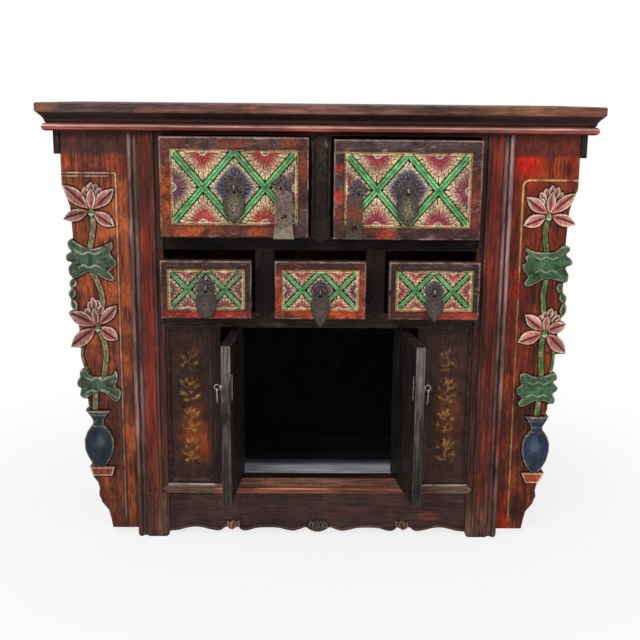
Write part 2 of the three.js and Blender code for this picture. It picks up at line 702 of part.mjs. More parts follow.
// Carved drawer front. Its middle is at x = 0, z = 0 and its outer face at y = 0.
function drawerFront(width, height, margin, bandWidth, petals, padRadius, holes) {
  const [a, b] = [width / 2 - margin[0], height / 2 - margin[1]];
  const board = block([-width / 2, width / 2], [0, frontThickness], [-height / 2, height / 2]);
  const inside = block([-a, a], [-1, carvingDepth + 2], [-b, b]);
  const sunk = cut(board, block([-a, a], [-5, carvingDepth], [-b, b]));
  const back = carvingDepth + 3;
  const bandFace = 1.5;
  const bandLength = 2 * Math.hypot(a, b);
  const band = (x, lean) => block(
    [-bandLength / 2, bandLength / 2], [bandFace, back], [-bandWidth / 2, bandWidth / 2])
    .rotateY(lean * Math.atan2(b, a / 2)).translate(x, 0, 0);
  const bands = [-1, 1].flatMap((side) => [-1, 1].map((lean) => band(side * a / 2, lean)));
  const clearOfBand = bandWidth * 1.05;
  const [flowerWidth, flowerHeight] = [a / 2 - clearOfBand * 0.9, b - clearOfBand];
  const flower = (centre) => diamondFlower(
    centre, flowerWidth, flowerHeight, petals, back, carvingDepth - 2, 2);
  const centres = [[0, 0], [-a, 0], [a, 0], [-a / 2, -b], [a / 2, -b], [-a / 2, b], [a / 2, b]];
  const carving = common(joined(...bands, ...centres.map(flower)), inside);
  const pads = holes.map(([x, z]) => barAlongY(padRadius, bandFace, back, 12).translate(x, 0, z));
  const bores = holes.map(([x, z]) => barAlongY(shankHoleRadius, -5, frontThickness + 5, 10)
    .translate(x, 0, z));
  return cut(joined(sunk, carving, ...pads), ...bores);
}

const padSink = 1.5;

// Drawer box: a floor, two sides and a back behind the carved front
function drawerBox(width, height) {
  const half = width / 2;
  const front = frontThickness;
  const back = front + boxLength;
  return cut(block([-half, half], [front, back], [0, height]),
    block([-half + boxWall, half - boxWall], [front - 5, back - boxWall], [boxFloor, height + 5]));
}

function drawerGroup(x, bottom, pullOut) {
  const group = new THREE.Group();
  group.position.set(x, frontSetback - pullOut, bottom);
  cabinet.add(group);
  return group;
}

// Large drawers, each with a round plate, a teardrop pull and a hasp near the centre divider
const largeFrontWidth = (bayWidth - centreDividerWidth) / 2 - 2 * frontSideGap;
const largeDrawerX = centreDividerWidth / 2 + frontSideGap + largeFrontWidth / 2;

function largeDrawer(name, side, frontLift, hasp) {
  const group = drawerGroup(side * largeDrawerX, upperRailTop, largePullOut);
  const middle = frontLift + largeFrontHeight / 2;
  const haspX = -side * (largeFrontWidth / 2 - hasp.inset);
  const front = drawerFront(largeFrontWidth, largeFrontHeight, largeCarvingMargin, largeBandWidth, 8,
    roundPlateRadius, [[0, 0], [haspX, hasp.rise]]);
  place(`drawer_front_${name}`, front.translate(0, 0, middle), carvedGreen, group);
  const box = drawerBox(largeFrontWidth - 2 * boxSideGap, largeBoxHeight);
  place(`drawer_box_${name}`, box.translate(0, 0, slideGap), bareWood, group);
  const pull = joined(roundPlate(roundPlateRadius), ...cotter(frontThickness, padSink));
  place(`pull_mount_${name}`, pull.translate(0, padSink, middle), darkIron, group);
  place(`pull_drop_${name}`, drop(teardrop).translate(0, padSink, middle), darkIron, group);
  const mount = joined(diamondPlate(diamondHalf), ...cotter(frontThickness, padSink, hasp.layer));
  const strap = haspStrap({ ...hasp, shift: -side * hasp.shift });
  place(`hasp_mount_${name}`, mount.translate(haspX, padSink, middle + hasp.rise), darkIron, group);
  place(`hasp_strap_${name}`, strap.translate(haspX, padSink, middle + hasp.rise), darkIron, group);
}

// Small drawers, each with its own pull
const smallSideWidth = bayHalf - smallDividerSpacing / 2 - smallDividerWidth / 2 - 2 * frontSideGap;
const smallMiddleWidth = smallDividerSpacing - smallDividerWidth - 2 * frontSideGap;
const smallSideX = bayHalf - frontSideGap - smallSideWidth / 2;

function smallDrawer(name, x, width, pullOutline, pullRise) {
  const group = drawerGroup(x, middleRailTop, smallPullOut);
  const middle = smallFrontLift + smallFrontHeight / 2;
  const front = drawerFront(width, smallFrontHeight, smallCarvingMargin, smallBandWidth, 6,
    smallPlateRadius + 1, [[0, pullRise]]);
  place(`drawer_front_${name}`, front.translate(0, 0, middle), carvedGreen, group);
  const box = drawerBox(width - 2 * boxSideGap, smallBoxHeight);
  place(`drawer_box_${name}`, box.translate(0, 0, slideGap), bareWood, group);
  const mount = joined(roundPlate(smallPlateRadius), ...cotter(frontThickness, padSink));
  place(`pull_mount_${name}`, mount.translate(0, padSink, middle + pullRise), darkIron, group);
  place(`pull_drop_${name}`, drop(pullOutline).translate(0, padSink, middle + pullRise), darkIron, group);
}

// Door leaf on the right, drawn closed with its pivot at x = 0, y = 0 and its foot at z = 0.
// It reaches towards -X from the pivot.
const doorHeight = doorOpeningHeight - 2 * doorGap;
const doorFace = -doorThickness / 2;

function doorLeaf() {
  const x1 = doorPivotInset;
  const x0 = x1 - doorWidth;
  const leafBlock = block([x0, x1], [doorFace, -doorFace], [0, doorHeight]);
  const recess = slopedRecess([x0 + doorBorder, x1 - doorBorder], [doorBorder, doorHeight - doorBorder],
    doorFace, doorRecess, 6);
  const pinReach = doorPinLength + doorGap;
  const pins = [
    barAlongZ(doorPinRadius, -pinReach, 1), barAlongZ(doorPinRadius, doorHeight - 1, doorHeight + pinReach)];
  const bore = barAlongY(shankHoleRadius, doorFace - 5, -doorFace + 5, 12)
    .translate(x0 + doorPullInset, 0, doorPullHeight);
  return cut(joined(cut(leafBlock, recess), ...pins), bore);
}

function door(name, side, angle) {
  const group = new THREE.Group();
  group.position.set(side * doorPivotX, doorPivotY, doorSillTop + doorGap);
  group.rotation.z = side * THREE.MathUtils.degToRad(angle);
  cabinet.add(group);
  const turned = (geometry) => (side > 0 ? geometry : mirrored(geometry));
  const pullX = doorPivotInset - doorWidth + doorPullInset;
  const mount = joined(roundPlate(doorPlateRadius), ...cotter(doorThickness, 0));
  const hung = (geometry) => turned(geometry.translate(pullX, doorFace, doorPullHeight));
  place(`door_${name}`, turned(doorLeaf()), brownLacquer, group);
  place(`door_pull_mount_${name}`, hung(mount), darkIron, group);
  place(`door_pull_drop_${name}`, hung(drop(slenderDrop)), darkIron, group);
}

// The case
const backPost = block([postOuter - backPostWidth, postOuter], [backPostFront, caseDepth], [0, postTop]);
const sideSpan = [postDepth, backPostFront];
const sidePanel = block([sideInner, sideInner + sidePanelThickness], sideSpan, [sideFoot, postTop]);
const sideRail = block([sideInner - sideRailWidth, sideInner], sideSpan, [sideFoot, floorFoot]);

function doorStile() {
  const ease = 3;
  const [inner, outer] = [doorHalf, doorHalf + doorStileWidth];
  const [face, back] = [railSetback, railSetback + stileDepth];
  return flatPlate([
    [inner, face + ease], [inner + ease, face], [outer - ease, face], [outer, face + ease],
    [outer, back], [inner, back]], bottomRailTop, middleRailFoot);
}

function fixedPanel() {
  const x = [doorHalf + doorStileWidth, bayHalf];
  const z = [bottomRailTop, middleRailFoot];
  const border = 5;
  const sink = 3.5;
  const recess = slopedRecess([x[0] + border, x[1] - border], [z[0] + border, z[1] - border],
    panelSetback, sink, 5);
  return cut(block(x, [panelSetback, panelSetback + panelThickness], z), recess);
}

place("top_board", topBoard(), darkTop);
place("top_moulding", topMoulding(), blackLacquer);
place("top_rail", topRail(), redLacquer);
place("upper_rail", upperRail(), redLacquer);
place("middle_rail", middleRail(), redLacquer);
place("bottom_rail", bottomRail(), redLacquer);
place("apron", apron(), brownLacquer);
const centreDivider = divider(0, centreDividerWidth, upperRailTop, topRailFoot, topPointRise, upperRailTop + 34);
place("centre_divider", centreDivider, brownLacquer);
const backPanel = block([-postOuter, postOuter], [caseDepth, backPanelBack], [sideFoot, postTop]);
place("back_panel", backPanel, bareWood);
place("cabinet_floor", shelf(bottomRailTop), bareWood);
place("lower_shelf", shelf(middleRailTop), bareWood);
place("upper_shelf", shelf(upperRailTop), bareWood);

const mirroredIf = (side, geometry) => (side > 0 ? geometry : mirrored(geometry));
const indexed = (geometry) => geometryOf(solidOf(geometry));
for (const [name, side] of [["left", -1], ["right", 1]]) {
  const onSide = (geometry) => mirroredIf(side, indexed(geometry));
  place(`front_post_${name}`, onSide(frontPost()), redLacquer);
  place(`back_post_${name}`, onSide(backPost), brownLacquer);
  place(`side_panel_${name}`, onSide(sidePanel), brownLacquer);
  place(`side_rail_${name}`, onSide(sideRail), bareWood);
  place(`door_stile_${name}`, onSide(doorStile()), brownLacquer);
  place(`fixed_panel_${name}`, onSide(fixedPanel()), brownLacquer);
  place(`wing_${name}`, onSide(wing()), carvedRed);
  place(`end_board_${name}`, onSide(endBoard()), blackLacquer);
  const smallDivider = divider(
    side * smallDividerSpacing / 2, smallDividerWidth, middleRailTop, upperRailFoot, 0, middleRailTop + 30);
  place(`small_divider_${name}`, smallDivider, brownLacquer);
}

largeDrawer("upper_left", -1, leftFrontLift, leftHasp);
largeDrawer("upper_right", 1, rightFrontLift, rightHasp);
smallDrawer("lower_left", -smallSideX, smallSideWidth, strapDrop, 6);
smallDrawer("lower_middle", 0, smallMiddleWidth, lanceDrop, -2);
smallDrawer("lower_right", smallSideX, smallSideWidth, leafDrop, 0);
door("left", -1, leftDoorAngle);
door("right", 1, rightDoorAngle);

// The origin is under the middle of the open cabinet, on the floor
const bounds = new THREE.Box3().setFromObject(cabinet);
cabinet.position.y = -(bounds.min.y + bounds.max.y) / 2;

export default cabinet;
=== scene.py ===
import math

import bmesh
import bpy
import numpy as np
from mathutils import Matrix, Vector


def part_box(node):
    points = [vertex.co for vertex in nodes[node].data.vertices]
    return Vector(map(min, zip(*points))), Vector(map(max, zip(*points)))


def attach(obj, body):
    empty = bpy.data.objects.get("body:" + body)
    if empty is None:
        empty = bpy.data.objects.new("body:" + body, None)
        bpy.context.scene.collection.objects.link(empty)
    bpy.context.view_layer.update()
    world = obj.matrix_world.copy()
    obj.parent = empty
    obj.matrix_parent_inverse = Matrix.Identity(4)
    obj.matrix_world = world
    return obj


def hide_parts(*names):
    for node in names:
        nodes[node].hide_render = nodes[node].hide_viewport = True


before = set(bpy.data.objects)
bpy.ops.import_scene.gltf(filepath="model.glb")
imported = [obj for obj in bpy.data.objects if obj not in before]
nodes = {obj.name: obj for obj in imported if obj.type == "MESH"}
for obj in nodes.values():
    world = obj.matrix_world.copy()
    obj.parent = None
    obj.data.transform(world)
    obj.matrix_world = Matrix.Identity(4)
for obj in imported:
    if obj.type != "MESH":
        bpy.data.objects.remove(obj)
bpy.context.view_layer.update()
mm = 0.001
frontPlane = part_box("front_post_left")[0].y  # the front plane of the posts
postEdge = 302  # from the middle to the inner edge of a post, in mm

# The camera stands where the photograph was taken from: 12.5 degrees down, a little left of the middle
camera = {
    "x": -0.0255,
    "away": 1.902,
    "height": 0.878,
    "pitch": math.radians(12.54),
    "yaw": math.radians(0.79),
    "roll": math.radians(0.54),
    "lens": 56.25,
}


# Columns are right, up and back; right and up are turned about the view line by the roll
def cameraMatrix(place, pitch, yaw, roll):
    ahead = Vector((math.sin(yaw) * math.cos(pitch), math.cos(yaw) * math.cos(pitch), -math.sin(pitch)))
    level = Vector((math.cos(yaw), -math.sin(yaw), 0))
    over = level.cross(ahead)
    right = level * math.cos(roll) + over * math.sin(roll)
    up = over * math.cos(roll) - level * math.sin(roll)
    turn = Matrix((right, up, -ahead)).transposed().to_4x4()
    return Matrix.Translation(place) @ turn


# A colour written 0 to 255, as linear light
def shade(red, green, blue):
    value = np.array([red, green, blue]) / 255
    return np.where(value <= 0.04045, value / 12.92, ((value + 0.055) / 1.055) ** 2.4)


# Linear light of a colour: a tuple holds three numbers from 0 to 255, anything else is linear already
def lit(colour):
    return shade(*colour) if isinstance(colour, tuple) else colour


# Object put in the scene
def linked(name, data):
    piece = bpy.data.objects.new(name, data)
    bpy.context.scene.collection.objects.link(piece)
    return piece


cameraData = bpy.data.cameras.new("camera")
cameraData.lens = camera["lens"]
cameraData.sensor_width = 36
cameraObject = linked("camera", cameraData)
cameraPlace = (camera["x"], frontPlane - camera["away"], camera["height"])
cameraObject.matrix_world = cameraMatrix(cameraPlace, camera["pitch"], camera["yaw"], camera["roll"])
bpy.context.scene.camera = cameraObject
print("camera set")


# Mesh with one material and no other
def coat(mesh, material):
    mesh.materials.clear()
    mesh.materials.append(material)


# Node with its settings. An input given a socket is linked to it, and any other input takes the value.
def addNode(tree, kind, inputs=None, **settings):
    node = tree.nodes.new(kind)
    for key, value in settings.items():
        setattr(node, key, value)
    for key, value in (inputs or {}).items():
        if isinstance(value, bpy.types.NodeSocket):
            tree.links.new(value, node.inputs[key])
        else:
            node.inputs[key].default_value = value
    return node


# Colour as a node takes it: a socket, or linear red, green and blue with 1 after them
def fourth(colour):
    return colour if isinstance(colour, bpy.types.NodeSocket) else (*map(float, lit(colour)[:3]), 1)


# First colour times one less the share, plus the second times the share
def mixColour(tree, share, first, second, how="MIX"):
    inputs = {0: share, 6: fourth(first), 7: fourth(second)}
    return addNode(tree, "ShaderNodeMix", inputs, data_type="RGBA", blend_type=how).outputs[2]


# Colour times one value
def dimmed(tree, colour, value):
    grey = addNode(tree, "ShaderNodeCombineXYZ", {0: value, 1: value, 2: value}).outputs[0]
    return mixColour(tree, 1.0, colour, grey, "MULTIPLY")


# One step of arithmetic on one or two values
def sums(tree, operation, *values):
    return addNode(tree, "ShaderNodeMath", dict(enumerate(values)), operation=operation).outputs[0]


# Share s of the way from low to high, as s times s times (3 less 2 s), then carried from start to end
def ease(tree, value, low, high, start=0.0, end=1.0):
    inputs = {0: value, 1: low, 2: high, 3: start, 4: end}
    return addNode(tree, "ShaderNodeMapRange", inputs, interpolation_type="SMOOTHSTEP").outputs[0]


# Share of the way from low to high, in a straight line and held between 0 and 1
def between(tree, value, low, high):
    return addNode(tree, "ShaderNodeMapRange", {0: value, 1: low, 2: high}).outputs[0]


# The x, y and z of a place
def partsOf(tree, place):
    return addNode(tree, "ShaderNodeSeparateXYZ", {0: place}).outputs


# Noise around 0.5, as layers of half the size each
def noiseOn(tree, place, scale, detail=4.0, distortion=0.0, roughness=0.55):
    inputs = {"Vector": place, "Scale": scale, "Detail": detail, "Distortion": distortion,
              "Roughness": roughness}
    return addNode(tree, "ShaderNodeTexNoise", inputs).outputs[0]


# Place times a scale each way, moved by a shift
def stretched(tree, place, scale=(1, 1, 1), shift=(0, 0, 0)):
    return addNode(tree, "ShaderNodeMapping", {0: place, 1: shift, 3: scale}).outputs[0]


# Colour along a value from stops of (place, colour)
def rampOn(tree, value, stops, kind="LINEAR"):
    ramp = addNode(tree, "ShaderNodeValToRGB", {0: value})
    ramp.color_ramp.interpolation = kind
    while len(ramp.color_ramp.elements) < len(stops):
        ramp.color_ramp.elements.new(1)
    for element, (place, colour) in zip(ramp.color_ramp.elements, stops):
        element.position = place
        element.color = fourth(colour)
    return ramp.outputs[0]


# New material, with its shader and the place on the object in metres
def emptyMaterial(name):
    material = bpy.data.materials.new(name)
    material.use_nodes = True
    tree = material.node_tree
    place = addNode(tree, "ShaderNodeTexCoord").outputs["Object"]
    return material, tree, tree.nodes["Principled BSDF"], place


# Normal rounded over the edges within a radius in mm, and the cosine of its angle to the true one
def roundedNormal(tree, radius):
    rounded = addNode(tree, "ShaderNodeBevel", {"Radius": radius * mm}, samples=6).outputs[0]
    true = addNode(tree, "ShaderNodeNewGeometry").outputs["Normal"]
    facing = addNode(tree, "ShaderNodeVectorMath", {0: rounded, 1: true}, operation="DOT_PRODUCT")
    return rounded, facing.outputs["Value"]


# Joins colour, roughness and relief to the shader: the roughness goes from low to high with a noise
def finishShader(tree, shader, colour, noise, rough, bump, specular):
    tree.links.new(colour, shader.inputs["Base Color"])
    tree.links.new(ease(tree, noise, 0.3, 0.7, *rough), shader.inputs["Roughness"])
    tree.links.new(addNode(tree, "ShaderNodeBump", bump).outputs[0], shader.inputs["Normal"])
    shader.inputs["Specular IOR Level"].default_value = specular


# Settings of a lacquer that its own look may replace; "round" is in mm
plainLook = {
    "grain": "x", "toneScale": 9, "toneShare": 1.0, "patchScale": 13, "patchFrom": 0.6, "grainDepth": 0.5,
    "dust": 0.35, "round": 1.6, "rub": 0.8, "grimeAndCornerShade": 0.7, "rough": (0.4, 0.66), "bump": 0.5,
    "specular": 0.13,
}
grainAlong = {"x": (3, 60, 60), "y": (60, 3, 60), "z": (60, 60, 3)}
toneAlong = {"x": (0.4, 1, 1), "y": (1, 0.4, 1), "z": (1, 1, 0.4)}
# Near black that the painted shade in corners fades to
cornerShadeColour = np.array([0.008, 0.005, 0.004])


# Worn lacquer on wood. The tone wanders between two colours, thin patches show the red under it, the
# grain runs along one way, and arrises are rubbed pale where the rounded normal leaves the true one.
# Corners and hollows are darkened by ambient occlusion as painted shade.
def lacquer(name, ownLook):
    material, tree, shader, place = emptyMaterial(name)
    look = {**plainLook, **ownLook}
    base = look["base"](tree, place) if callable(look["base"]) else look["base"]
    drawn = stretched(tree, place, toneAlong[look["grain"]])
    tone = ease(tree, noiseOn(tree, drawn, look["toneScale"], 8, 0.6, 0.66), 0.4, 0.62)
    colour = mixColour(tree, sums(tree, "MULTIPLY", tone, look["toneShare"]), base, look["dark"])
    if "patch" in look:
        moved = stretched(tree, drawn, shift=(3.1, 1.7, 0.4))
        spots = noiseOn(tree, moved, look["patchScale"], 9, 0.7, 0.68)
        threshold = look["patchFrom"] - 0.02
        colour = mixColour(tree, ease(tree, spots, threshold, threshold + 0.14), colour, look["patch"])
    grain = noiseOn(tree, stretched(tree, place, grainAlong[look["grain"]]), 4, 6, 0.3, 0.65)
    depth = look["grainDepth"]
    colour = dimmed(tree, colour, ease(tree, grain, 0.33, 0.67, 1 - depth, 1 + depth))
    specks = noiseOn(tree, place, 420, 3)
    dust = ease(tree, specks, 0.55, 0.75, 0, look["dust"])
    colour = mixColour(tree, dust, colour, lit(look.get("worn", (120, 96, 84))) * 0.7)
    rounded, facing = roundedNormal(tree, look["round"])
    spots = ease(tree, noiseOn(tree, place, 45, 5), 0.36, 0.62)
    rub = sums(tree, "MULTIPLY", ease(tree, facing, 0.998, 0.86), spots)
    rub = sums(tree, "MULTIPLY", rub, look["rub"])
    colour = mixColour(tree, rub, colour, look.get("worn", (150, 116, 98)))
    # Painted shade: ambient occlusion darkens the colour in corners and hollows
    corner = addNode(tree, "ShaderNodeAmbientOcclusion", {"Distance": 0.02}, samples=4).outputs["AO"]
    colour = mixColour(tree, ease(tree, corner, 0.25, 0.85, look["grimeAndCornerShade"], 0.0), colour, cornerShadeColour)
    relief = sums(tree, "ADD", grain, sums(tree, "MULTIPLY", specks, 0.35))
    finishShader(tree, shader, colour, noiseOn(tree, drawn, 40, 6), look["rough"], {
        "Strength": look["bump"], "Distance": 0.5 * mm, "Height": relief, "Normal": rounded},
        look["specular"])
    return material


# Paint on carving: its colours come with the mesh, and fine noise, streaks and dust break them up
def carvedPaint(name, rough=(0.42, 0.66), streak=0.3, drawn=(1, 1, 0.3)):
    material, tree, shader, place = emptyMaterial(name)
    colour = addNode(tree, "ShaderNodeAttribute", attribute_name="paint").outputs["Color"]
    broad = ease(tree, noiseOn(tree, place, 24, 6, 0.5, 0.62), 0.36, 0.64, 0.74, 1.22)
    fine = noiseOn(tree, stretched(tree, place, drawn), 260, 4, 0, 0.65)
    fine = ease(tree, fine, 0.34, 0.66, 1 - streak, 1 + streak)
    colour = dimmed(tree, colour, sums(tree, "MULTIPLY", broad, fine))
    specks = noiseOn(tree, place, 600, 3)
    colour = mixColour(tree, ease(tree, specks, 0.6, 0.78, 0, 0.3), colour, (140, 118, 98))
    grain = noiseOn(tree, stretched(tree, place, drawn), 330, 3)
    finishShader(tree, shader, colour, noiseOn(tree, place, 40, 4), rough, {
        "Strength": 0.45, "Distance": 0.5 * mm, "Height": grain}, 0.15)
    return material


# Forged iron: dark scale with brown and olive patina, worn brighter on its edges
def iron(name, dark, patina, bright, metal=0.75, rough=(0.36, 0.62), edge=0.7, patinaShare=1.0,
         middle=None):
    material, tree, shader, place = emptyMaterial(name)
    cloud = ease(tree, noiseOn(tree, place, 110, 8, 0.6, 0.66), 0.4, 0.64, 0, patinaShare)
    colour = mixColour(tree, cloud, dark(tree, place) if callable(dark) else dark, patina)
    if middle is not None:
        share = addNode(tree, "ShaderNodeAttribute", attribute_name="middle").outputs["Fac"]
        spots = ease(tree, noiseOn(tree, place, 240, 5), 0.36, 0.6)
        colour = mixColour(tree, sums(tree, "MULTIPLY", share, spots), colour, middle)
    pits = noiseOn(tree, place, 520, 4)
    colour = mixColour(tree, ease(tree, pits, 0.56, 0.7, 0, 0.7), colour, bright)
    rounded, facing = roundedNormal(tree, 0.8)
    colour = mixColour(tree, sums(tree, "MULTIPLY", ease(tree, facing, 0.998, 0.85), edge), colour,
                       bright)
    finishShader(tree, shader, colour, noiseOn(tree, place, 120, 4), rough, {
        "Strength": 0.9, "Distance": 0.7 * mm, "Height": noiseOn(tree, place, 160, 4), "Normal": rounded},
        0.3)
    shader.inputs["Metallic"].default_value = metal
    return material


# Share s of the way from low to high, as s times s times (3 less 2 s)
def softStep(low, high, value):
    share = np.clip((value - low) / (high - low), 0, 1)
    return share * share * (3 - 2 * share)


# Random field between -1 and 1: numbers hashed at the corners of squares of one size, eased between
def mottle(x, z, size, seed):
    gx, gz = x / size, z / size
    ix, iz = np.floor(gx), np.floor(gz)
    fx, fz = softStep(0, 1, gx - ix), softStep(0, 1, gz - iz)

    def lot(a, b):
        hashed = np.sin(a * 127.1 + b * 311.7 + seed * 74.7) * 43758.5453
        return 2 * (hashed - np.floor(hashed)) - 1

    low = lot(ix, iz) * (1 - fx) + lot(ix + 1, iz) * fx
    high = lot(ix, iz + 1) * (1 - fx) + lot(ix + 1, iz + 1) * fx
    return low * (1 - fz) + high * fz


# Several such fields, each half the size and half the strength of the one before
def clouds(x, z, size, seed, layers=4):
    total = sum(mottle(x, z, size / 2 ** i, seed + 5.3 * i) / 2 ** i for i in range(layers))
    return total / 1.5


# Such clouds brought to a share that rises from 0 to 1 between two of their levels
def blotches(low, high, x, z, size, seed):
    return softStep(low, high, clouds(x, z, size, seed))


# One at the middle, falling off as e to the power of less the square of the way out over the width
def hump(value, middle, width):
    return np.exp(-((value - middle) / width) ** 2)


# The same fall away from one place, over its own width each way
def blob(x, z, centre, widths):
    return np.exp(-((x - centre[0]) / widths[0]) ** 2 - ((z - centre[1]) / widths[1]) ** 2)


# Average over a few cells each way, from running sums
def soften(field, cells):
    count = 2 * cells + 1
    for axis in (0, 1):
        pad = [(cells + 1, cells) if way == axis else (0, 0) for way in (0, 1)]
        running = np.cumsum(np.pad(field, pad, mode="edge"), axis=axis)
        size = field.shape[axis]
        field = (running.take(range(count, count + size), axis) - running.take(range(size), axis)) / count
    return field


# One colour at every place of a grid
def filled(grid, colour):
    return np.broadcast_to(lit(colour), grid.shape + (3,))


# Base times one less the share, plus the colour times the share
def over(base, share, colour):
    return base * (1 - share[..., None]) + lit(colour) * share[..., None]


# Lens between two points, in mm. Its half width is the sine of the way along, raised to bulge. Gives the
# distance outside its edge (negative inside), the way along from 0 to 1 and the offset across.
def lens(u, z, base, tip, width, bulge=1.2):
    du, dz = tip[0] - base[0], tip[1] - base[1]
    length = math.hypot(du, dz)
    along = ((u - base[0]) * du + (z - base[1]) * dz) / length ** 2
    across = ((z - base[1]) * du - (u - base[0]) * dz) / length
    held = np.clip(along, 0, 1)
    half = width / 2 * np.sin(np.pi * held ** bulge)
    within = (along > 0) & (along < 1)
    return np.where(within, np.abs(across) - half, np.hypot(across,
                                                            (along - held) * length)), held, across


# Points of a smooth line through the given ones: each part is a cubic of its two ends and their neighbours
def smoothLine(points, steps=10):
    p = np.array([points[0], *points, points[-1]], float)
    t = np.linspace(0, 1, steps, endpoint=False)[:, None]
    spans = [0.5 * (2 * b + (c - a) * t + (2 * a - 5 * b + 4 * c - d) * t ** 2
                    + (3 * b - a - 3 * c + d) * t ** 3)
             for a, b, c, d in zip(p, p[1:], p[2:], p[3:])]
    return np.vstack([*spans, p[-1:]])


# Distance to a line of straight parts, and whether each place lies inside it when it is closed: a place
# is inside when a line to its right crosses the outline an odd number of times
def lineDistance(u, z, line):
    best, odd = np.full(u.shape, 1e9), np.zeros(u.shape, bool)
    for (ax, az), (bx, bz) in zip(line[:-1], line[1:]):
        length = max((bx - ax) ** 2 + (bz - az) ** 2, 1e-9)
        t = np.clip(((u - ax) * (bx - ax) + (z - az) * (bz - az)) / length, 0, 1)
        best = np.minimum(best, np.hypot(u - ax - t * (bx - ax), z - az - t * (bz - az)))
        if az != bz:
            odd ^= ((az > z) != (bz > z)) & (u < (bx - ax) * (z - az) / (bz - az) + ax)
    return best, odd


# Distance to a smooth line, less its half width
def strand(u, z, points, half):
    return lineDistance(u, z, smoothLine(points))[0] - half


# Distance outside a smooth closed outline, negative inside
def closedForm(u, z, points):
    ring = np.array([*points[-2:], *points, *points[:2]], float)
    line = smoothLine(ring, 4)[8:-4]
    distance, inside = lineDistance(u, z, line)
    return np.where(inside, -distance, distance)


# Lays a motif over a board: inside its edge its height and colour take over, and a cut runs round it,
# lined in the outline colour; a dark outline is painted shade in the cut
def layMotif(board, distance, height, colour, outline=(40, 20, 15), moat=1.6, line=0.9):
    inside = softStep(0.5, -0.5, distance)
    ring = hump(distance, 0, 1.8) * (distance > -0.4)
    board["height"] = (board["height"] - moat * ring) * (1 - inside) + height * inside
    board["rgb"] = over(board["rgb"], inside, colour)
    # Line along the cut in the outline colour: painted shade where it is dark
    board["rgb"] = over(board["rgb"], 0.85 * hump(distance, 0.3, line), outline)


# Mesh object from points and faces, with its normals smooth where faces meet softly
def meshObject(name, points, faces, material, body, stands=(), smooth=35.0):
    mesh = bpy.data.meshes.new(name)
    mesh.from_pydata(np.asarray(points).tolist(), [], faces)
    mesh.validate()
    mesh.shade_smooth()
    mesh.set_sharp_from_angle(angle=math.radians(smooth))
    mesh.materials.append(material)
    piece = linked(name, mesh)
    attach(piece, body)
    if stands:
        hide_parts(*stands)
    return piece


# Board carved on a grid: front points at their own depths, and walls from its outline to a flat back of
# the same shape. Rows run up, columns run along X. Cuts are darkened as painted shade, and ridges rubbed
# pale as wear, by how far each point lies from its blurred height.
def carvedBoard(name, x, z, y, back, rgb, material, body, stands, rubbed=(190, 160, 130), rub=0.4,
                cavityShade=0.75,
                edge=(74, 40, 32)):
    rows, columns = x.shape
    height = -y
    cavity = np.clip((soften(height, 3) - height) / (1.1 * mm), -1, 1)
    # Painted shade: darkens the cuts by how deep they lie under the blurred height
    rgb = over(rgb, cavityShade * np.clip(cavity, 0, 1), (16, 9, 7))
    rubs = rub * softStep(0.15, 0.9, -cavity) * blotches(-0.5, 0.4, x / mm, z / mm, 9, 3)
    rgb = over(rgb, rubs, rubbed).reshape(-1, 3)
    front = np.stack([x, y, z], -1).reshape(-1, 3)
    index = np.arange(rows * columns).reshape(rows, columns)
    outline = np.concatenate([index[0], index[1:, -1], index[-1, -2::-1], index[-2:0:-1, 0]])
    near, behind = front[outline], front[outline]
    near[:, 1] += 1.5 * mm
    behind[:, 1] = back
    ring = len(front) + np.arange(len(outline))
    last = ring + len(outline)
    quads = np.stack([index[:-1, :-1], index[:-1, 1:], index[1:, 1:], index[1:, :-1]], -1).reshape(-1, 4)
    walls = [np.stack([np.roll(first, -1), first, second, np.roll(second, -1)], 1)
             for first, second in ((outline, ring), (ring, last))]
    faces = [*quads.tolist(), *np.vstack(walls).tolist(), last[::-1].tolist()]
    piece = meshObject(name, np.vstack([front, near, behind]), faces, material, body, stands, 60)
    paint = np.ones((len(front) + 2 * len(ring), 4))
    wood = filled(ring, edge)
    paint[:, :3] = np.vstack([rgb, rgb[outline] * 0.15 + wood * 0.85, wood])
    attribute = piece.data.color_attributes.new("paint", "FLOAT_COLOR", "POINT")
    attribute.data.foreach_set("color", np.clip(paint, 0, 1).ravel())
    return piece


print("tools ready")

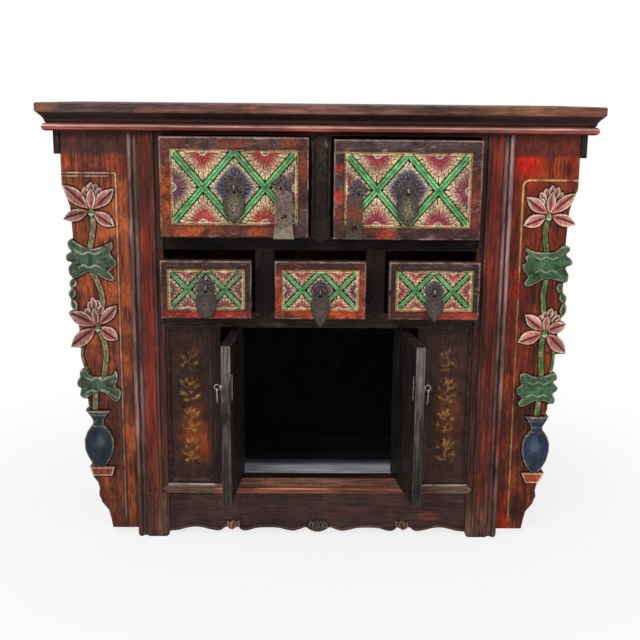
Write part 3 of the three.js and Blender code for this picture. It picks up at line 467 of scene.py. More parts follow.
# Wings: u runs outwards from the post and z up from the floor, both in mm
wings = {
    "cell": 1.25,
    "widest": 126,
    "setback": 9,
    "thickness": 21,
    "relief": 6,
    "bandFoot": 772,
    "petalBulge": 1.2,
    "edge": [(713, 126), (672, 112), (618, 109), (564, 108), (512, 109), (474, 110), (429, 104),
             (369, 96), (324, 96), (272, 92), (236, 84), (194, 90), (152, 86), (134, 91), (124, 88),
             (113, 80), (100, 77), (87, 79), (70, 73), (53, 60), (35, 56), (16, 53)],
}
wingForms = {
    "left": {
        "border": 23, "borderTop": 735, "corner": 3, "inner": 0.25, "lines": [(0, 1), (-6, 0.7)],
        "lotuses": [
            {"heart": (71, 664), "centre": (70, 707), "centreWidth": 18,
             "buds": [(59, 716), (77, 714), (70, 719), (51, 708), (84, 709), (47, 699), (89, 699)],
             "sides": [((124.5, 712), 27), ((26, 706), 25), ((125.5, 647), 24), ((27, 634), 25)]},
            {"heart": (67, 438), "centre": (74, 476), "centreWidth": 15,
             "buds": [(65, 491), (84, 487), (76, 496), (58, 481), (92, 473)],
             "sides": [((123.5, 465), 29), ((28, 480), 23), ((122, 395), 28), ((28, 411), 27)]},
        ],
        "leaves": [
            [(35, 608), (39, 602), (73, 590), (102, 602), (111, 609), (119, 603), (118, 592), (113, 585),
             (121, 580), (124, 573), (121, 566), (113, 563), (119, 555), (119, 544), (114, 535),
             (106, 532), (78, 546), (47, 530), (32, 529), (35, 538), (41, 547), (28, 557), (28, 569),
             (34, 575), (38, 583), (32, 594)],
            [(35, 350), (42, 339), (58, 336), (76, 335), (86, 339), (95, 350), (106, 346), (107, 334),
             (112, 327), (112, 316), (106, 311), (108, 297), (98, 290), (85, 298), (68, 306), (51, 295),
             (38, 284), (29, 291), (27, 307), (37, 317), (32, 332)],
        ],
        "stems": [[(71, 662), (69, 632), (77, 588)], [(75, 545), (63, 522), (56, 490), (60, 465)],
                  [(66, 430), (57, 410), (53, 380), (59, 335)], [(77, 302), (79, 264)]],
        "vine": [(98, 406), (100, 375), (91, 343)],
        "knots": [((108, 534), (116, 512), 15), ((112, 514), (117, 491), 15),
                  ((116, 494), (108, 466), 14)],
        "vaseCentre": 73.5,
        "vase": [(146, 8), (152, 13), (160, 19), (171, 25), (184, 29), (204, 30), (222, 23), (236, 12),
                 (244, 10.5), (254, 16), (266, 25)],
        "stand": [(128, 49, 89), (148, 43, 95)],
    },
    "right": {
        "border": 20, "borderTop": 728, "corner": 13, "lines": [(0, 1)],
        "lotuses": [
            {"heart": (72, 662), "centre": (77, 708), "centreWidth": 18,
             "buds": [(64, 714), (89, 716), (77, 719.5), (54, 706), (97, 706), (51, 694), (100, 693)],
             "sides": [((122, 704), 24), ((27, 696), 25), ((125, 644), 24), ((23, 641), 25)]},
            {"heart": (77, 432), "centre": (80, 466), "centreWidth": 15,
             "buds": [(76, 474), (98, 474), (89, 480), (66, 466), (106, 466), (112, 457)],
             "sides": [((119, 448), 24), ((36, 467), 25), ((121, 388), 27), ((24, 411), 27)]},
        ],
        "leaves": [
            [(32, 601), (39, 595), (56, 590), (87, 591), (103, 603), (115, 601), (117, 593), (111, 585),
             (121, 576), (123, 566), (111, 560), (117, 546), (116, 533), (109, 531), (90, 536), (72, 538),
             (54, 529), (38, 522), (31, 529), (38, 541), (29, 553), (26, 565), (34, 570), (31, 580),
             (37, 586), (30, 594)],
            [(35, 346), (47, 347), (60, 341), (82, 342), (94, 347), (106, 345), (107, 335), (101, 329),
             (110, 318), (107, 310), (101, 305), (106, 292), (101, 284), (86, 289), (68, 291), (51, 283),
             (38, 278), (32, 285), (39, 296), (30, 304), (28, 316), (36, 323), (33, 334)],
        ],
        "stems": [[(72, 660), (67, 624), (73, 588)], [(76, 542), (70, 505), (74, 468)],
                  [(76, 430), (72, 395), (76, 338)], [(73, 296), (71, 257)]],
        "vine": [(98, 400), (97, 371), (94, 344)],
        "knots": [((100, 532), (103, 508), 13), ((105, 512), (113, 487), 15),
                  ((113, 492), (109, 460), 14)],
        "vaseCentre": 72,
        "vase": [(139, 8), (145, 12), (153, 18), (166, 24.5), (184, 28), (200, 28), (216, 23), (229, 13),
                 (236, 12), (246, 18), (258, 24)],
        "stand": [(116, 55, 81), (139, 45, 93)],
    },
}


# Distance outside the vase's stand, whose sides lean evenly from its lower span to its upper one
def standDistance(u, z, form):
    (z0, a0, b0), (z1, a1, b1) = form["stand"]
    t = np.clip((z - z0) / (z1 - z0), 0, 1)
    return np.maximum.reduce([a0 + (a1 - a0) * t - u, u - b0 - (b1 - b0) * t, z0 - z, z - z1])


# Distance outside the vase, whose half width runs straight between its heights, and the share out
def vaseDistance(u, z, form):
    heights, halves = zip(*form["vase"])
    half = np.interp(z, heights, halves)
    distance = np.maximum.reduce([np.abs(u - form["vaseCentre"]) - half, heights[0] - z, z - heights[-1]])
    return distance, np.clip(np.abs(u - form["vaseCentre"]) / half, 0, 1)


# How far out the ground is sawn at a height, straight between the given heights
def groundEdge(z):
    heights, reaches = zip(*sorted(wings["edge"]))
    return np.interp(z, heights, reaches)


# How far out the wing reaches at each height: the ground's edge, or the carving that stands past it
def wingReach(z, form):
    u, zz = np.meshgrid(np.arange(0, wings["widest"] + 0.2, 0.4), z)
    held = u < groundEdge(zz)
    for lotus in form["lotuses"]:
        for tip, width in lotus["sides"]:
            held |= lens(u, zz, lotus["heart"], tip, width, wings["petalBulge"])[0] < 0
    for leaf in form["leaves"]:
        held |= closedForm(u, zz, leaf) < 0
    for base, tip, width in form["knots"]:
        held |= lens(u, zz, base, tip, width, 1.0)[0] < 0
    held |= strand(u, zz, form["vine"], 3.5) < 0
    held |= (standDistance(u, zz, form) < 0) | (vaseDistance(u, zz, form)[0] < 0)
    return np.where(held, u, 0).max(1)


# Petal: a pale rim round a pink blade, red near the heart, with a dark groove along its middle. One half
# of the blade is paler than the other as painted light.
def layPetal(board, u, z, base, tip, width, rise, look, bulge=1.2, groove=1.0):
    distance, along, across = lens(u, z, base, tip, width, bulge)
    half = np.maximum(width / 2 * np.sin(np.pi * along ** bulge), 0.5)
    share = np.clip(np.abs(across) / half, 0, 1)
    keel = hump(across, 0.05 * width, 0.075 * width + 0.4)
    keel = groove * keel * softStep(0.16, 0.34, along) * softStep(0.97, 0.86, along)
    rim = softStep(3.3, 1.9, half - np.abs(across)) * softStep(0.1, 0.3, along)
    height = rise * (0.45 + 0.4 * np.sqrt(1 - share ** 2 * 0.96)) + 0.6 * rim - 1.8 * keel
    streaks = mottle(across * 1.3, along * 5, 1.1, tip[0] + tip[1])
    # Painted light: the half on one side of the middle line is paler
    pale = softStep(0.3, 1.05, along * 0.75 + 0.25 * streaks + 0.25 * (across < 0))
    colour = over(filled(u, look["core"]), 0.75 * pale, look["pale"])
    colour = over(colour, 0.85 * softStep(0.42, 0.06, along), look["heart"])
    colour = over(colour, 0.3 * softStep(0, 0.8, streaks), look["cut"])
    colour = over(colour, 0.9 * rim * blotches(-0.9, 0.0, u, z, 7, tip[0]), look["rim"])
    colour = over(colour, 0.95 * keel, lit(look["cut"]) * 0.45)
    layMotif(board, distance, height, colour)


# Lotus: buds at the back, side petals, one petal in the middle and a calyx under the heart
def layLotus(board, u, z, lotus, look):
    heart = lotus["heart"]
    for tip in lotus["buds"]:
        base = (heart[0] + (tip[0] - heart[0]) * 0.3, heart[1] + (tip[1] - heart[1]) * 0.42)
        layPetal(board, u, z, base, tip, 14, 3.4, look, 1.5, 0.55)
    for tip, width in lotus["sides"]:
        layPetal(board, u, z, heart, tip, width, 5.4, look, wings["petalBulge"])
    layPetal(board, u, z, (heart[0], heart[1] - 4), lotus["centre"], lotus["centreWidth"], 6, look, 1.3,
             0.6)
    calyx, along, across = lens(u, z, (heart[0], heart[1] - 14), (heart[0], heart[1] + 5), 13, 1.0)
    colour = over(filled(u, look["calyx"]), hump(along, 0.35, 0.06), look["rim"])
    layMotif(board, calyx, 5.2 - 0.08 * across ** 2, colour)


# Leaf like a bow: a paler dish in its waist, ribs out to the lobes, wavy pale lines above and below
def layLeaf(board, u, z, leaf, look):
    distance = closedForm(u, z, leaf)
    centre = np.array(leaf).mean(0)
    du, dz = u - centre[0], z - centre[1]
    ribs = np.minimum.reduce([np.abs(dz * 1.5 + du * slope) / (1 + abs(slope))
                              for slope in (-1.1, -0.35, 0.35, 1.1)])
    ribs = hump(ribs, 0, 1.5) * softStep(12, 24, np.abs(du)) * softStep(-1, -4, distance)
    waist = hump(np.abs(dz) - 13, 2.2 * np.cos(du / 3.6), 1.5) * softStep(26, 16, np.abs(du))
    dish = softStep(24, 8, np.hypot(du, dz * 1.6))
    rim = softStep(-2.6, -1.0, distance)
    height = 3.0 + 1.8 * softStep(0, -8, distance) - 1.0 * dish - 1.1 * ribs + 0.8 * waist
    colour = over(filled(u, look["leaf"]), 0.8 * dish, look["leafLight"])
    colour = over(colour, 0.75 * blotches(-0.2, 0.7, u, z, 11, centre[1]), look["leafDark"])
    colour = over(colour, 0.4 * ribs * blotches(-0.6, 0.4, u, z, 6, 27), look["leafRim"])
    colour = over(colour, 0.65 * waist, look["leafRim"])
    colour = over(colour, 0.8 * rim * blotches(-0.7, 0.3, u, z, 10, 7), look["leafRim"])
    layMotif(board, distance, height, colour)


# Stem along a smooth line: its height is the rise times the root of one less 0.9 times the share squared
def layStem(board, u, z, points, half, rise, look):
    distance = strand(u, z, points, half)
    share = np.clip(1 + distance / half, 0, 1)
    colour = over(filled(u, look["stem"]), 0.8 * softStep(0.55, 0.95, share), look["stemRim"])
    colour = over(colour, 0.5 * blotches(0, 0.8, u * 2, z / 3, 6, 15), look["leafDark"])
    layMotif(board, distance, rise * np.sqrt(1 - 0.9 * share ** 2), colour)


# Vase and stand: the vase's height is 6.4 times the root of one less 0.85 of the share out, squared
def layVase(board, u, z, form, look):
    distance, share = vaseDistance(u, z, form)
    top = form["vase"][-1][0]
    rings = sum(hump(top - z, ring, 1.5) for ring in (2.5, 9, 22, 32))
    height = 6.4 * np.sqrt(1 - 0.85 * share ** 2) + 0.5 * rings
    middle = form["vaseCentre"]
    # Painted highlight: a pale spot on the vase's body
    shine = hump(np.hypot(u - middle + 2, (z - top + 62) * 0.8), 0, 9)
    colour = over(filled(u, look["vase"]), 0.55 * shine, look["vaseHighlight"])
    colour = over(colour, 0.6 * blotches(-0.1, 0.8, u, z, 14, 11), look["vaseDark"])
    colour = over(colour, np.clip(0.6 * rings * blotches(-0.6, 0.3, u, z, 9, 18), 0, 1), look["vaseRim"])
    edge = hump(distance, -1.8, 1.0)
    colour = over(colour, 0.55 * edge, look["vaseRim"])
    layMotif(board, distance, height, colour)
    stand = standDistance(u, z, form)
    rim = hump(stand, -2.4, 1.1)
    colour = over(filled(u, look["stand"]), 0.5 * blotches(0, 0.8, u, z, 8, 3), look["dark"])
    colour = over(colour, 0.6 * rim, look["rim"])
    layMotif(board, stand, 4 + 0.6 * rim, colour)


wingLooks = {
    "left": {
        "ground": (146, 72, 42), "upper": (112, 50, 40), "low": (86, 44, 32), "flame": (168, 78, 34),
        "strip": (150, 76, 38), "band": (60, 36, 32), "bright": (150, 54, 36), "line": (216, 180, 150),
        "dark": (46, 22, 18), "core": (142, 76, 72), "pale": (186, 140, 128), "rim": (222, 196, 176),
        "heart": (170, 52, 44), "cut": (74, 30, 26), "calyx": (58, 112, 66), "leaf": (58, 80, 62),
        "leafLight": (76, 108, 84), "leafDark": (24, 32, 26), "leafRim": (176, 178, 158),
        "stem": (88, 92, 58), "stemRim": (156, 150, 120), "vase": (38, 46, 54),
        "vaseHighlight": (92, 100, 112), "vaseDark": (26, 28, 32), "vaseRim": (126, 128, 126),
        "stand": (136, 66, 44),
    },
    "right": {
        "ground": (116, 38, 17), "upper": (140, 46, 16), "low": (110, 48, 26), "flame": (150, 66, 28),
        "strip": (98, 28, 14), "band": (84, 34, 24), "bright": (196, 24, 10), "line": (224, 160, 88),
        "dark": (44, 17, 12), "core": (178, 88, 88), "pale": (218, 172, 152), "rim": (244, 224, 196),
        "heart": (190, 44, 54), "cut": (84, 34, 28), "calyx": (58, 132, 62), "leaf": (60, 92, 62),
        "leafLight": (78, 118, 84), "leafDark": (24, 42, 26), "leafRim": (156, 170, 142),
        "stem": (64, 104, 54), "stemRim": (140, 146, 96), "vase": (40, 52, 72),
        "vaseHighlight": (86, 100, 122), "vaseDark": (26, 32, 44), "vaseRim": (136, 124, 98),
        "stand": (166, 70, 38),
    },
}


# One wing: the ground's colours first, then the border's lines, then the motifs from back to front
def wingBoard(name, side):
    low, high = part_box(f"wing_{name}")
    inner = high.x if side < 0 else low.x
    face = frontPlane + wings["setback"] * mm
    look, form = wingLooks[name], wingForms[name]
    z1 = np.linspace(low.z / mm, high.z / mm, round((high.z - low.z) / mm / wings["cell"]) + 1)
    reach = wingReach(z1, form)
    share = np.linspace(0, 1, round(wings["widest"] / wings["cell"]) + 1)
    u, z = share[None, :] * reach[:, None], np.repeat(z1[:, None], len(share), 1)
    streaks = mottle(u, z / 14, 3, 2 + side) * 0.5 + mottle(u, z / 22, 1.6, 8 + side) * 0.4
    streaks = streaks + clouds(u, z, 50, 9 + side)
    rgb = over(filled(u, look["ground"]), softStep(520, 240, z), look["low"])
    rgb = over(rgb, softStep(form["borderTop"] - 1, form["borderTop"] + 1, z), look["upper"])
    rgb = over(rgb, 0.7 * blotches(0.0, 0.7, u * 2.2, z / 3, 36, 31 + side), look["flame"])
    strip = softStep(form["border"] - 4, form["border"] - 6, u)
    rgb = over(rgb, 0.85 * strip * blotches(-0.7, 0.2, u * 3, z / 4, 40, 21), look["strip"])
    rgb = over(rgb, 0.85 * softStep(-0.1, 0.9, streaks), look["dark"])
    rgb = over(rgb, 0.4 * blotches(0.35, 0.9, u * 2, z / 2, 34, 51 + side), look["bright"])
    shadow = blotches(-0.2, 0.7, u * 1.2, z / 1.5, 44, 71 + side) * softStep(760, 690, z)
    rgb = over(rgb, 0.55 * shadow, look["dark"])
    glow = blob(u, z, (24, 758), (22, 20))
    rgb = over(rgb, np.clip(glow * (1.1 if side > 0 else 0.3) + 0.3 * streaks * glow, 0, 1),
               look["bright"])
    bandFoot = wings["bandFoot"] + 4 * clouds(u, z, 30, 5)
    rgb = over(rgb, 0.85 * softStep(bandFoot - 4, bandFoot + 4, z), look["band"])
    board = {"height": -0.5 * softStep(0.2, 1, streaks), "rgb": rgb}
    corner, top, inset = form["corner"], form["borderTop"], form["border"]
    inset = inset + (3 + side) * (top - z) / top
    turned = np.hypot(np.maximum(inset + corner - u, 0), np.maximum(z - top + corner, 0)) - corner
    line = np.where((u < inset + corner) & (z > top - corner), turned, np.maximum(inset - u, z - top))
    for offset, strength in form["lines"]:
        near = np.abs(line - offset)
        level = softStep(top - 16, top - 8, z) if offset else 1
        shown = softStep(30, 45, z) * strength * (level + (1 - level) * form["inner"] if offset else 1)
        ridge = hump(near, 0, 2.0 if side > 0 else 1.2) * shown
        board["height"] = board["height"] + 1.2 * ridge
        worn = blotches(-0.7, 0.2, u * 1.5, z / 2, 26, 41 + side) * (0.4 + 0.6 * softStep(560, 730, z))
        board["rgb"] = over(board["rgb"], ridge * worn, look["line"])
        board["rgb"] = over(board["rgb"], 0.6 * hump(near, 2.6, 0.9) * shown, look["dark"])
    layStem(board, u, z, form["vine"], 3.4, 2.6, look)
    for base, tip, width in form["knots"]:
        knotLook = {**look, "core": look["leaf"], "heart": look["leafDark"], "pale": look["leaf"],
                    "rim": look["leafRim"]}
        layPetal(board, u, z, base, tip, width, 3.2, knotLook, 1.0, 0.4)
    for stem in form["stems"]:
        layStem(board, u, z, stem, 5.4, 3.6, look)
    for leaf in form["leaves"]:
        layLeaf(board, u, z, leaf, look)
    for lotus in form["lotuses"]:
        layLotus(board, u, z, lotus, look)
    layVase(board, u, z, form, look)
    rimDrop = 1.2 * softStep(2.2, 0, reach[:, None] - u)
    height = np.clip(board["height"] - rimDrop, -2.5, wings["relief"])
    x = inner + side * u * mm
    y = face - height * mm
    rgb = over(board["rgb"], 0.5 * softStep(1.6, 0, reach[:, None] - u), lit(look["rim"]) * 0.5)
    zMetres = z * mm
    if side < 0:
        x, y, zMetres, rgb = x[:, ::-1], y[:, ::-1], zMetres[:, ::-1], rgb[:, ::-1]
    carvedBoard(f"carved_wing_{name}", x, zMetres, y, face + wings["thickness"] * mm, rgb, carvingPaint,
                "case", (f"wing_{name}",))


carvingPaint = carvedPaint("carving paint")
wingBoard("left", -1)
wingBoard("right", 1)
print("wings carved")

# Drawer fronts: x and z run from the middle of the front, in mm
fronts = {
    "cell": 1.1,
    "carvingDepth": 5,
    "cream": (206, 186, 142),
    "tan": (128, 100, 66),
    "light": (228, 218, 200),
    "grimeAndCornerShade": (104, 82, 80),
    "ochre": (190, 142, 78),
    "ground": (66, 40, 28),
    "green": (64, 138, 78),
    "greenLight": (136, 196, 136),
    "greenDark": (26, 70, 40),
    "toothGreen": (40, 76, 46),
    "red": (150, 50, 50),
    "purple": (92, 46, 62),
    "blue": (58, 58, 76),
    "heart": (112, 124, 98),
    "arris": (150, 128, 114),
}
# Inner row of petals: how far out it reaches, how softly it ends and how much cream flecks it
innerRows = {"middle": (0.8, 0.2, 0.1), "sides": (0.72, 0.3, 0.35), "ends": (0.68, 0.3, 0.35)}


# Flower: two rows of petals in a rounded diamond about a small round heart. The outer row is cream, the
# inner row is coloured and turned by half a petal, and dark cuts part them. A petal's tip follows the
# cosine of the angle times half the number of petals.
def layBlossom(board, x, z, centre, halfWidth, halfHeight, inner, row, petals, heartSize, seed):
    spread, fade, fleck = row
    dx, dz = x - centre[0], z - centre[1]
    turn = np.arctan2(dz / halfHeight, dx / halfWidth)
    turn = turn + 0.05 * mottle(turn * 3, turn * 0, 1, seed)
    reach = (np.abs(np.cos(turn)) ** 1.4 + np.abs(np.sin(turn)) ** 1.4) ** (-1 / 1.4)
    out = np.hypot(dx / halfWidth, dz / halfHeight) / reach
    away = np.hypot(dx, dz)
    broken = mottle(x, z, 2.6, seed + 2)
    small = min(halfWidth, halfHeight)
    blush = over(lit(inner), np.array(0.55), fronts["cream"])
    rows = ((0.5 * math.pi, 1.0, fronts["cream"], fronts["tan"], 2.2, (58, 34, 28)),
            (0.0, spread, blush, inner, 3.3, (150, 112, 88)))
    for phase, size, edge, body, rise, outline in rows:
        lobe = np.abs(np.cos(petals / 2 * turn + phase))
        tip = size * (0.8 + 0.2 * lobe ** 0.7)
        distance = (out - tip) * small * 0.8
        cut = softStep(0.42, 0.08, lobe) * softStep(0.15, 0.45, out)
        height = rise - 1.2 * out + 0.9 * lobe - 1.1 * cut
        if size < 1:
            colour = over(filled(x, edge), softStep(tip, tip - fade, out), body)
            colour = over(colour, 0.4 * softStep(0.75, 1.0, lobe) * softStep(0.2, 0.4, out),
                          lit(inner) * 0.4)
            colour = over(colour, fleck * softStep(-0.1, 0.6, broken) * softStep(0.2, 0.5, out), edge)
        else:
            colour = over(filled(x, edge),
                          0.7 * softStep(0.72, 0.98, lobe) * softStep(tip - 0.08, tip - 0.24, out), body)
            colour = over(colour, 0.45 * softStep(spread + 0.2, spread - 0.05, out), blush)
        colour = over(colour, 0.35 * blotches(-0.1, 0.8, x, z, 8, seed + size), body)
        worn = softStep(-2.2, -1.0, distance) * softStep(-0.7, 0.3, broken)
        colour = over(colour, 0.75 * worn, fronts["light"])
        colour = over(colour, 0.8 * cut, (62, 32, 27))
        layMotif(board, distance, height, colour, outline, 0.9, 0.8)
    heart = softStep(0.5, -0.5, away - heartSize)
    ring = hump(away - heartSize, 0.8, 0.8)
    colour = over(filled(x, fronts["heart"]), 0.5 * softStep(0, 1, broken), fronts["greenDark"])
    board["height"] = board["height"] * (1 - heart) + heart * (4.2 - away / heartSize)
    board["rgb"] = over(over(board["rgb"], heart, colour), 0.8 * ring, fronts["light"])


# Lattice: four bands laid as one, each place following the band whose middle line is nearest. A band has
# two pale ridges with a darker furrow between them, and dark teeth along both sides.
def layLattice(board, x, z, a, b, half):
    length = math.hypot(a / 2, b)
    bands = [(crossing, lean) for crossing in (-a / 2, a / 2) for lean in (-1, 1)]
    offsets = np.array([((x - crossing) * b - lean * z * a / 2) / length for crossing, lean in bands])
    places = np.array([((x - crossing) * a / 2 + lean * z * b) / length for crossing, lean in bands])
    nearest = np.abs(offsets).argmin(0)[None]
    across = np.take_along_axis(offsets, nearest, 0)[0]
    along = np.take_along_axis(places, nearest, 0)[0]
    side = np.where(across > 0, 1.3, 0)
    teeth = np.abs(np.sin(along * math.pi / 6.5 + side))
    toothed = np.abs(across) - half - 2.2 * teeth + 0.4
    layMotif(board, toothed, 2.4, filled(x, fronts["toothGreen"]), (20, 26, 18), 0.8, 1.0)
    distance = np.abs(across) - half + 0.4
    share = np.clip(np.abs(across) / half, 0, 1)
    height = 3.9 - 0.8 * share + 0.6 * hump(share, 0.62, 0.16)
    colour = over(filled(x, fronts["green"]),
                  0.8 * hump(share, 0.62, 0.2) * softStep(-0.6, 0.5, mottle(along, across * 2, 5, 3)),
                  fronts["greenLight"])
    colour = over(colour, 0.6 * blotches(0, 0.8, along, across * 3, 14, 17), fronts["greenDark"])
    colour = over(colour, 0.6 * hump(across, 0, 0.9), fronts["greenDark"])
    layMotif(board, distance, height, colour, (22, 44, 28), 0.4, 0.8)


# One drawer front: seven flowers under a lattice, sunk inside a frame that is worn and rubbed
def drawerBoard(name, look):
    low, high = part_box(f"drawer_front_{name}")
    width, tall = (high.x - low.x) / mm, (high.z - low.z) / mm
    cell, seed = fronts["cell"], look["seed"]
    x, z = np.meshgrid(np.linspace(-width / 2, width / 2, round(width / cell) + 1),
                       np.linspace(-tall / 2, tall / 2, round(tall / cell) + 1))
    a, b = width / 2 - look["margin"][0], tall / 2 - look["margin"][1]
    board = {"height": np.zeros(x.shape), "rgb": filled(x, fronts["ground"])}
    clear = look["band"] * 2.1
    for kind, px, pz in (("middle", 0, 0), ("sides", -a, 0), ("sides", a, 0), ("ends", -a / 2, -b),
                         ("ends", a / 2, -b), ("ends", -a / 2, b), ("ends", a / 2, b)):
        layBlossom(board, x, z, (px, pz), a / 2 - clear * 0.62, b - clear * 0.66, look[kind],
                   innerRows[kind],
                   look["petals"], look["heartSize"], seed + px)
    layLattice(board, x, z, a, b, look["band"])
    board["height"] -= fronts["carvingDepth"]
    grimeAndCornerShade = look["grimeAndCornerShade"] * blotches(-0.9, 0.2, x, z, 24, seed + 52)
    board["rgb"] = over(board["rgb"] * look["lift"], grimeAndCornerShade, fronts["grimeAndCornerShade"])
    frameEdge = np.maximum(np.abs(x) - a, np.abs(z) - b)
    inFrame = softStep(-0.3, 0.5, frameEdge)
    rust = 0.55 * clouds(x, z * 1.3, 40, seed, 5) + 0.35 * mottle(x, z * 2, 3.2, seed + 3)
    frameColour = filled(x, look["frame"])
    frameColour = over(frameColour, 0.5 * softStep(0.1, 0.7, rust), look["rust"])
    for kind, px, pz, rx, rz, amount in look["patches"]:
        spot = amount * np.exp(-((x - px) / rx) ** 4 - ((z - pz) / rz) ** 4)
        frameColour = over(frameColour, np.clip(spot * softStep(-0.75, 0.15, rust), 0, 1), look[kind])
    shadow = 0.7 * blotches(0.1, 0.8, x * 1.5, z * 1.5, 26, seed + 8)
    frameColour = over(frameColour, shadow, lit(look["frame"]) * 0.35)
    board["rgb"] = over(board["rgb"], inFrame, frameColour)
    board["height"] = board["height"] * (1 - inFrame)
    for offset, strength, colour in ((1.8, 0.85, fronts["ochre"]), (-1.4, 0.85, fronts["cream"])):
        ridge = hump(frameEdge, offset, 1.2)
        worn = blotches(-0.9, 0.2, x, z, 22, seed + 12)
        board["rgb"] = over(board["rgb"], ridge * strength * worn, colour)
        board["height"] = board["height"] + np.where(frameEdge < 0, 2.5, -0.35) * ridge
    board["rgb"] = over(board["rgb"], 0.7 * hump(frameEdge, 4.2, 0.9), (40, 22, 18))
    rim = np.minimum(width / 2 - np.abs(x), tall / 2 - np.abs(z))
    board["height"] -= 1.6 * softStep(2.4, 0, rim) + 0.25 * blotches(0, 0.8, x, z, 30, seed + 20)
    # Pale arris round the front: partly wear, partly painted highlight, as it runs stronger along the top
    # edge
    arris = hump(rim, 1.2, 1.1) * softStep(-0.4, 0.6, clouds(x, z, 14, seed + 30) + 0.7 * (z > 0) - 0.2)
    board["rgb"] = over(board["rgb"], 0.8 * arris, fronts["arris"])
    scuffs = blotches(0.35, 0.75, x / 2.5, z * 2, 9, seed + 44) * inFrame
    board["rgb"] = over(board["rgb"], 0.35 * scuffs, fronts["arris"])
    y = low.y - np.minimum(board["height"], 0) * mm
    centre = (low + high) / 2
    carvedBoard(f"carved_front_{name}", centre.x + x * mm, centre.z + z * mm, y, high.y, board["rgb"],
                frontPaint,
                look["body"], (f"drawer_front_{name}",), (206, 186, 156), 0.35)


frontPaint = carvedPaint("drawer paint", (0.38, 0.6), 0.34, (0.6, 1, 1))
levelPaint = carvedPaint("level paint", (0.42, 0.66), 0.34, (0.1, 1, 1))
largeFront = {"margin": (23, 26), "band": 5.5, "petals": 24, "heartSize": 6.5}
smallFront = {"margin": (15.7, 19), "band": 3.8, "petals": 14, "heartSize": 4}
frontLooks = {
    "upper_left": {
        **largeFront, "body": "large_drawer_left", "seed": 51, "lift": 1.2, "grimeAndCornerShade": 0.05,
        "middle": fronts["blue"], "sides": fronts["purple"], "ends": fronts["red"],
        "frame": (70, 40, 35), "rust": (132, 62, 40), "bright": (164, 72, 36),
        "grey": (80, 64, 66),
        "patches": [("bright", -125, -15, 13, 52, 1), ("rust", -70, -82, 66, 12, 1),
                    ("bright", -88, -83, 26, 8, 0.8), ("bright", 44, -82, 26, 8, 0.8),
                    ("rust", -12, 79, 34, 9, 0.8), ("grey", -46, 79, 22, 10, 0.9),
                    ("grey", 64, 80, 22, 9, 0.9), ("rust", 106, 82, 20, 8, 0.9),
                    ("grey", 127, -62, 12, 26, 0.9), ("rust", 127, 40, 10, 24, 0.7)]},
    "upper_right": {
        **largeFront, "body": "large_drawer_right", "seed": 63, "lift": 1.22, "grimeAndCornerShade": 0.03,
        "middle": fronts["blue"], "sides": (118, 42, 66), "ends": (140, 42, 60), "frame": (56, 37, 35),
        "rust": (104, 48, 38), "bright": (150, 50, 34), "grey": (78, 64, 66),
        "patches": [("bright", 124, -14, 9, 38, 0.9), ("rust", 130, -20, 11, 60, 0.9),
                    ("bright", -43, -81, 20, 9, 1), ("rust", -70, -76, 40, 6, 0.8),
                    ("bright", -128, 40, 12, 7, 0.9), ("bright", -128, -12, 10, 15, 1),
                    ("rust", -128, -44, 10, 12, 0.9), ("grey", 0, 82, 120, 8, 0.8),
                    ("grey", -126, 12, 14, 10, 0.8)]},
    "lower_left": {
        **smallFront, "body": "small_drawer_left", "seed": 71, "lift": 1.0, "grimeAndCornerShade": 0.5,
        "middle": (58, 50, 56), "sides": (108, 48, 50), "ends": fronts["red"], "frame": (42, 29, 27),
        "rust": (98, 42, 34), "bright": (160, 44, 34), "grey": (66, 54, 52),
        "patches": [("bright", 0, -47, 84, 7, 1), ("grey", 0, 47, 84, 6, 0.5),
                    ("rust", -78, -10, 7, 26, 0.7)]},
    "lower_middle": {
        **smallFront, "body": "small_drawer_middle", "seed": 83, "lift": 1.2, "grimeAndCornerShade": 0.06,
        "middle": (70, 52, 74), "sides": fronts["purple"], "ends": fronts["red"], "frame": (56, 30, 26),
        "rust": (142, 58, 38), "bright": (186, 74, 36), "grey": (70, 56, 52),
        "patches": [("rust", 0, -46, 86, 9, 1), ("bright", 10, -47, 60, 7, 0.8),
                    ("rust", -78, -5, 8, 44, 1), ("rust", 78, -5, 8, 44, 1),
                    ("bright", -78, -20, 6, 22, 0.7)]},
    "lower_right": {
        **smallFront, "body": "small_drawer_right", "seed": 97, "lift": 1.22, "grimeAndCornerShade": 0.02,
        "middle": fronts["blue"], "sides": fronts["red"], "ends": fronts["red"], "frame": (44, 31, 29),
        "rust": (108, 46, 38), "bright": (166, 50, 34), "grey": (66, 54, 52),
        "patches": [("bright", 40, -47, 50, 7, 1), ("rust", -30, -47, 60, 6, 0.7),
                    ("grey", 0, 47, 84, 6, 0.5)]},
}
for frontName, look in frontLooks.items():
    drawerBoard(frontName, look)
print("drawer fronts carved")

# Apron: its lower edge runs in waves between the centre drop, the leaf drops and the posts
apronForm = {
    "cell": 1.5,
    "rows": 56,
    "setback": 6,
    "meanEdge": 14.2,
    "waveSize": 1.25,
    "dropHalf": 25,
    "leafX": 175,
    "leafHalf": 11.5,
    "innerWave": [(0.08, 0.5), (0.18, -2.5), (0.29, -0.5), (0.4, 2.5), (0.56, 3.2), (0.72, 2.2),
                  (0.81, -0.8), (0.9, -2.5), (0.96, 0), (1, 4)],
    "outerWave": [(0, 4), (0.07, 0), (0.14, -2.5), (0.28, -0.5), (0.42, 2.8), (0.56, 4), (0.7, 2),
                  (0.82, -1.2), (0.91, -2.5), (1, -3)],
}


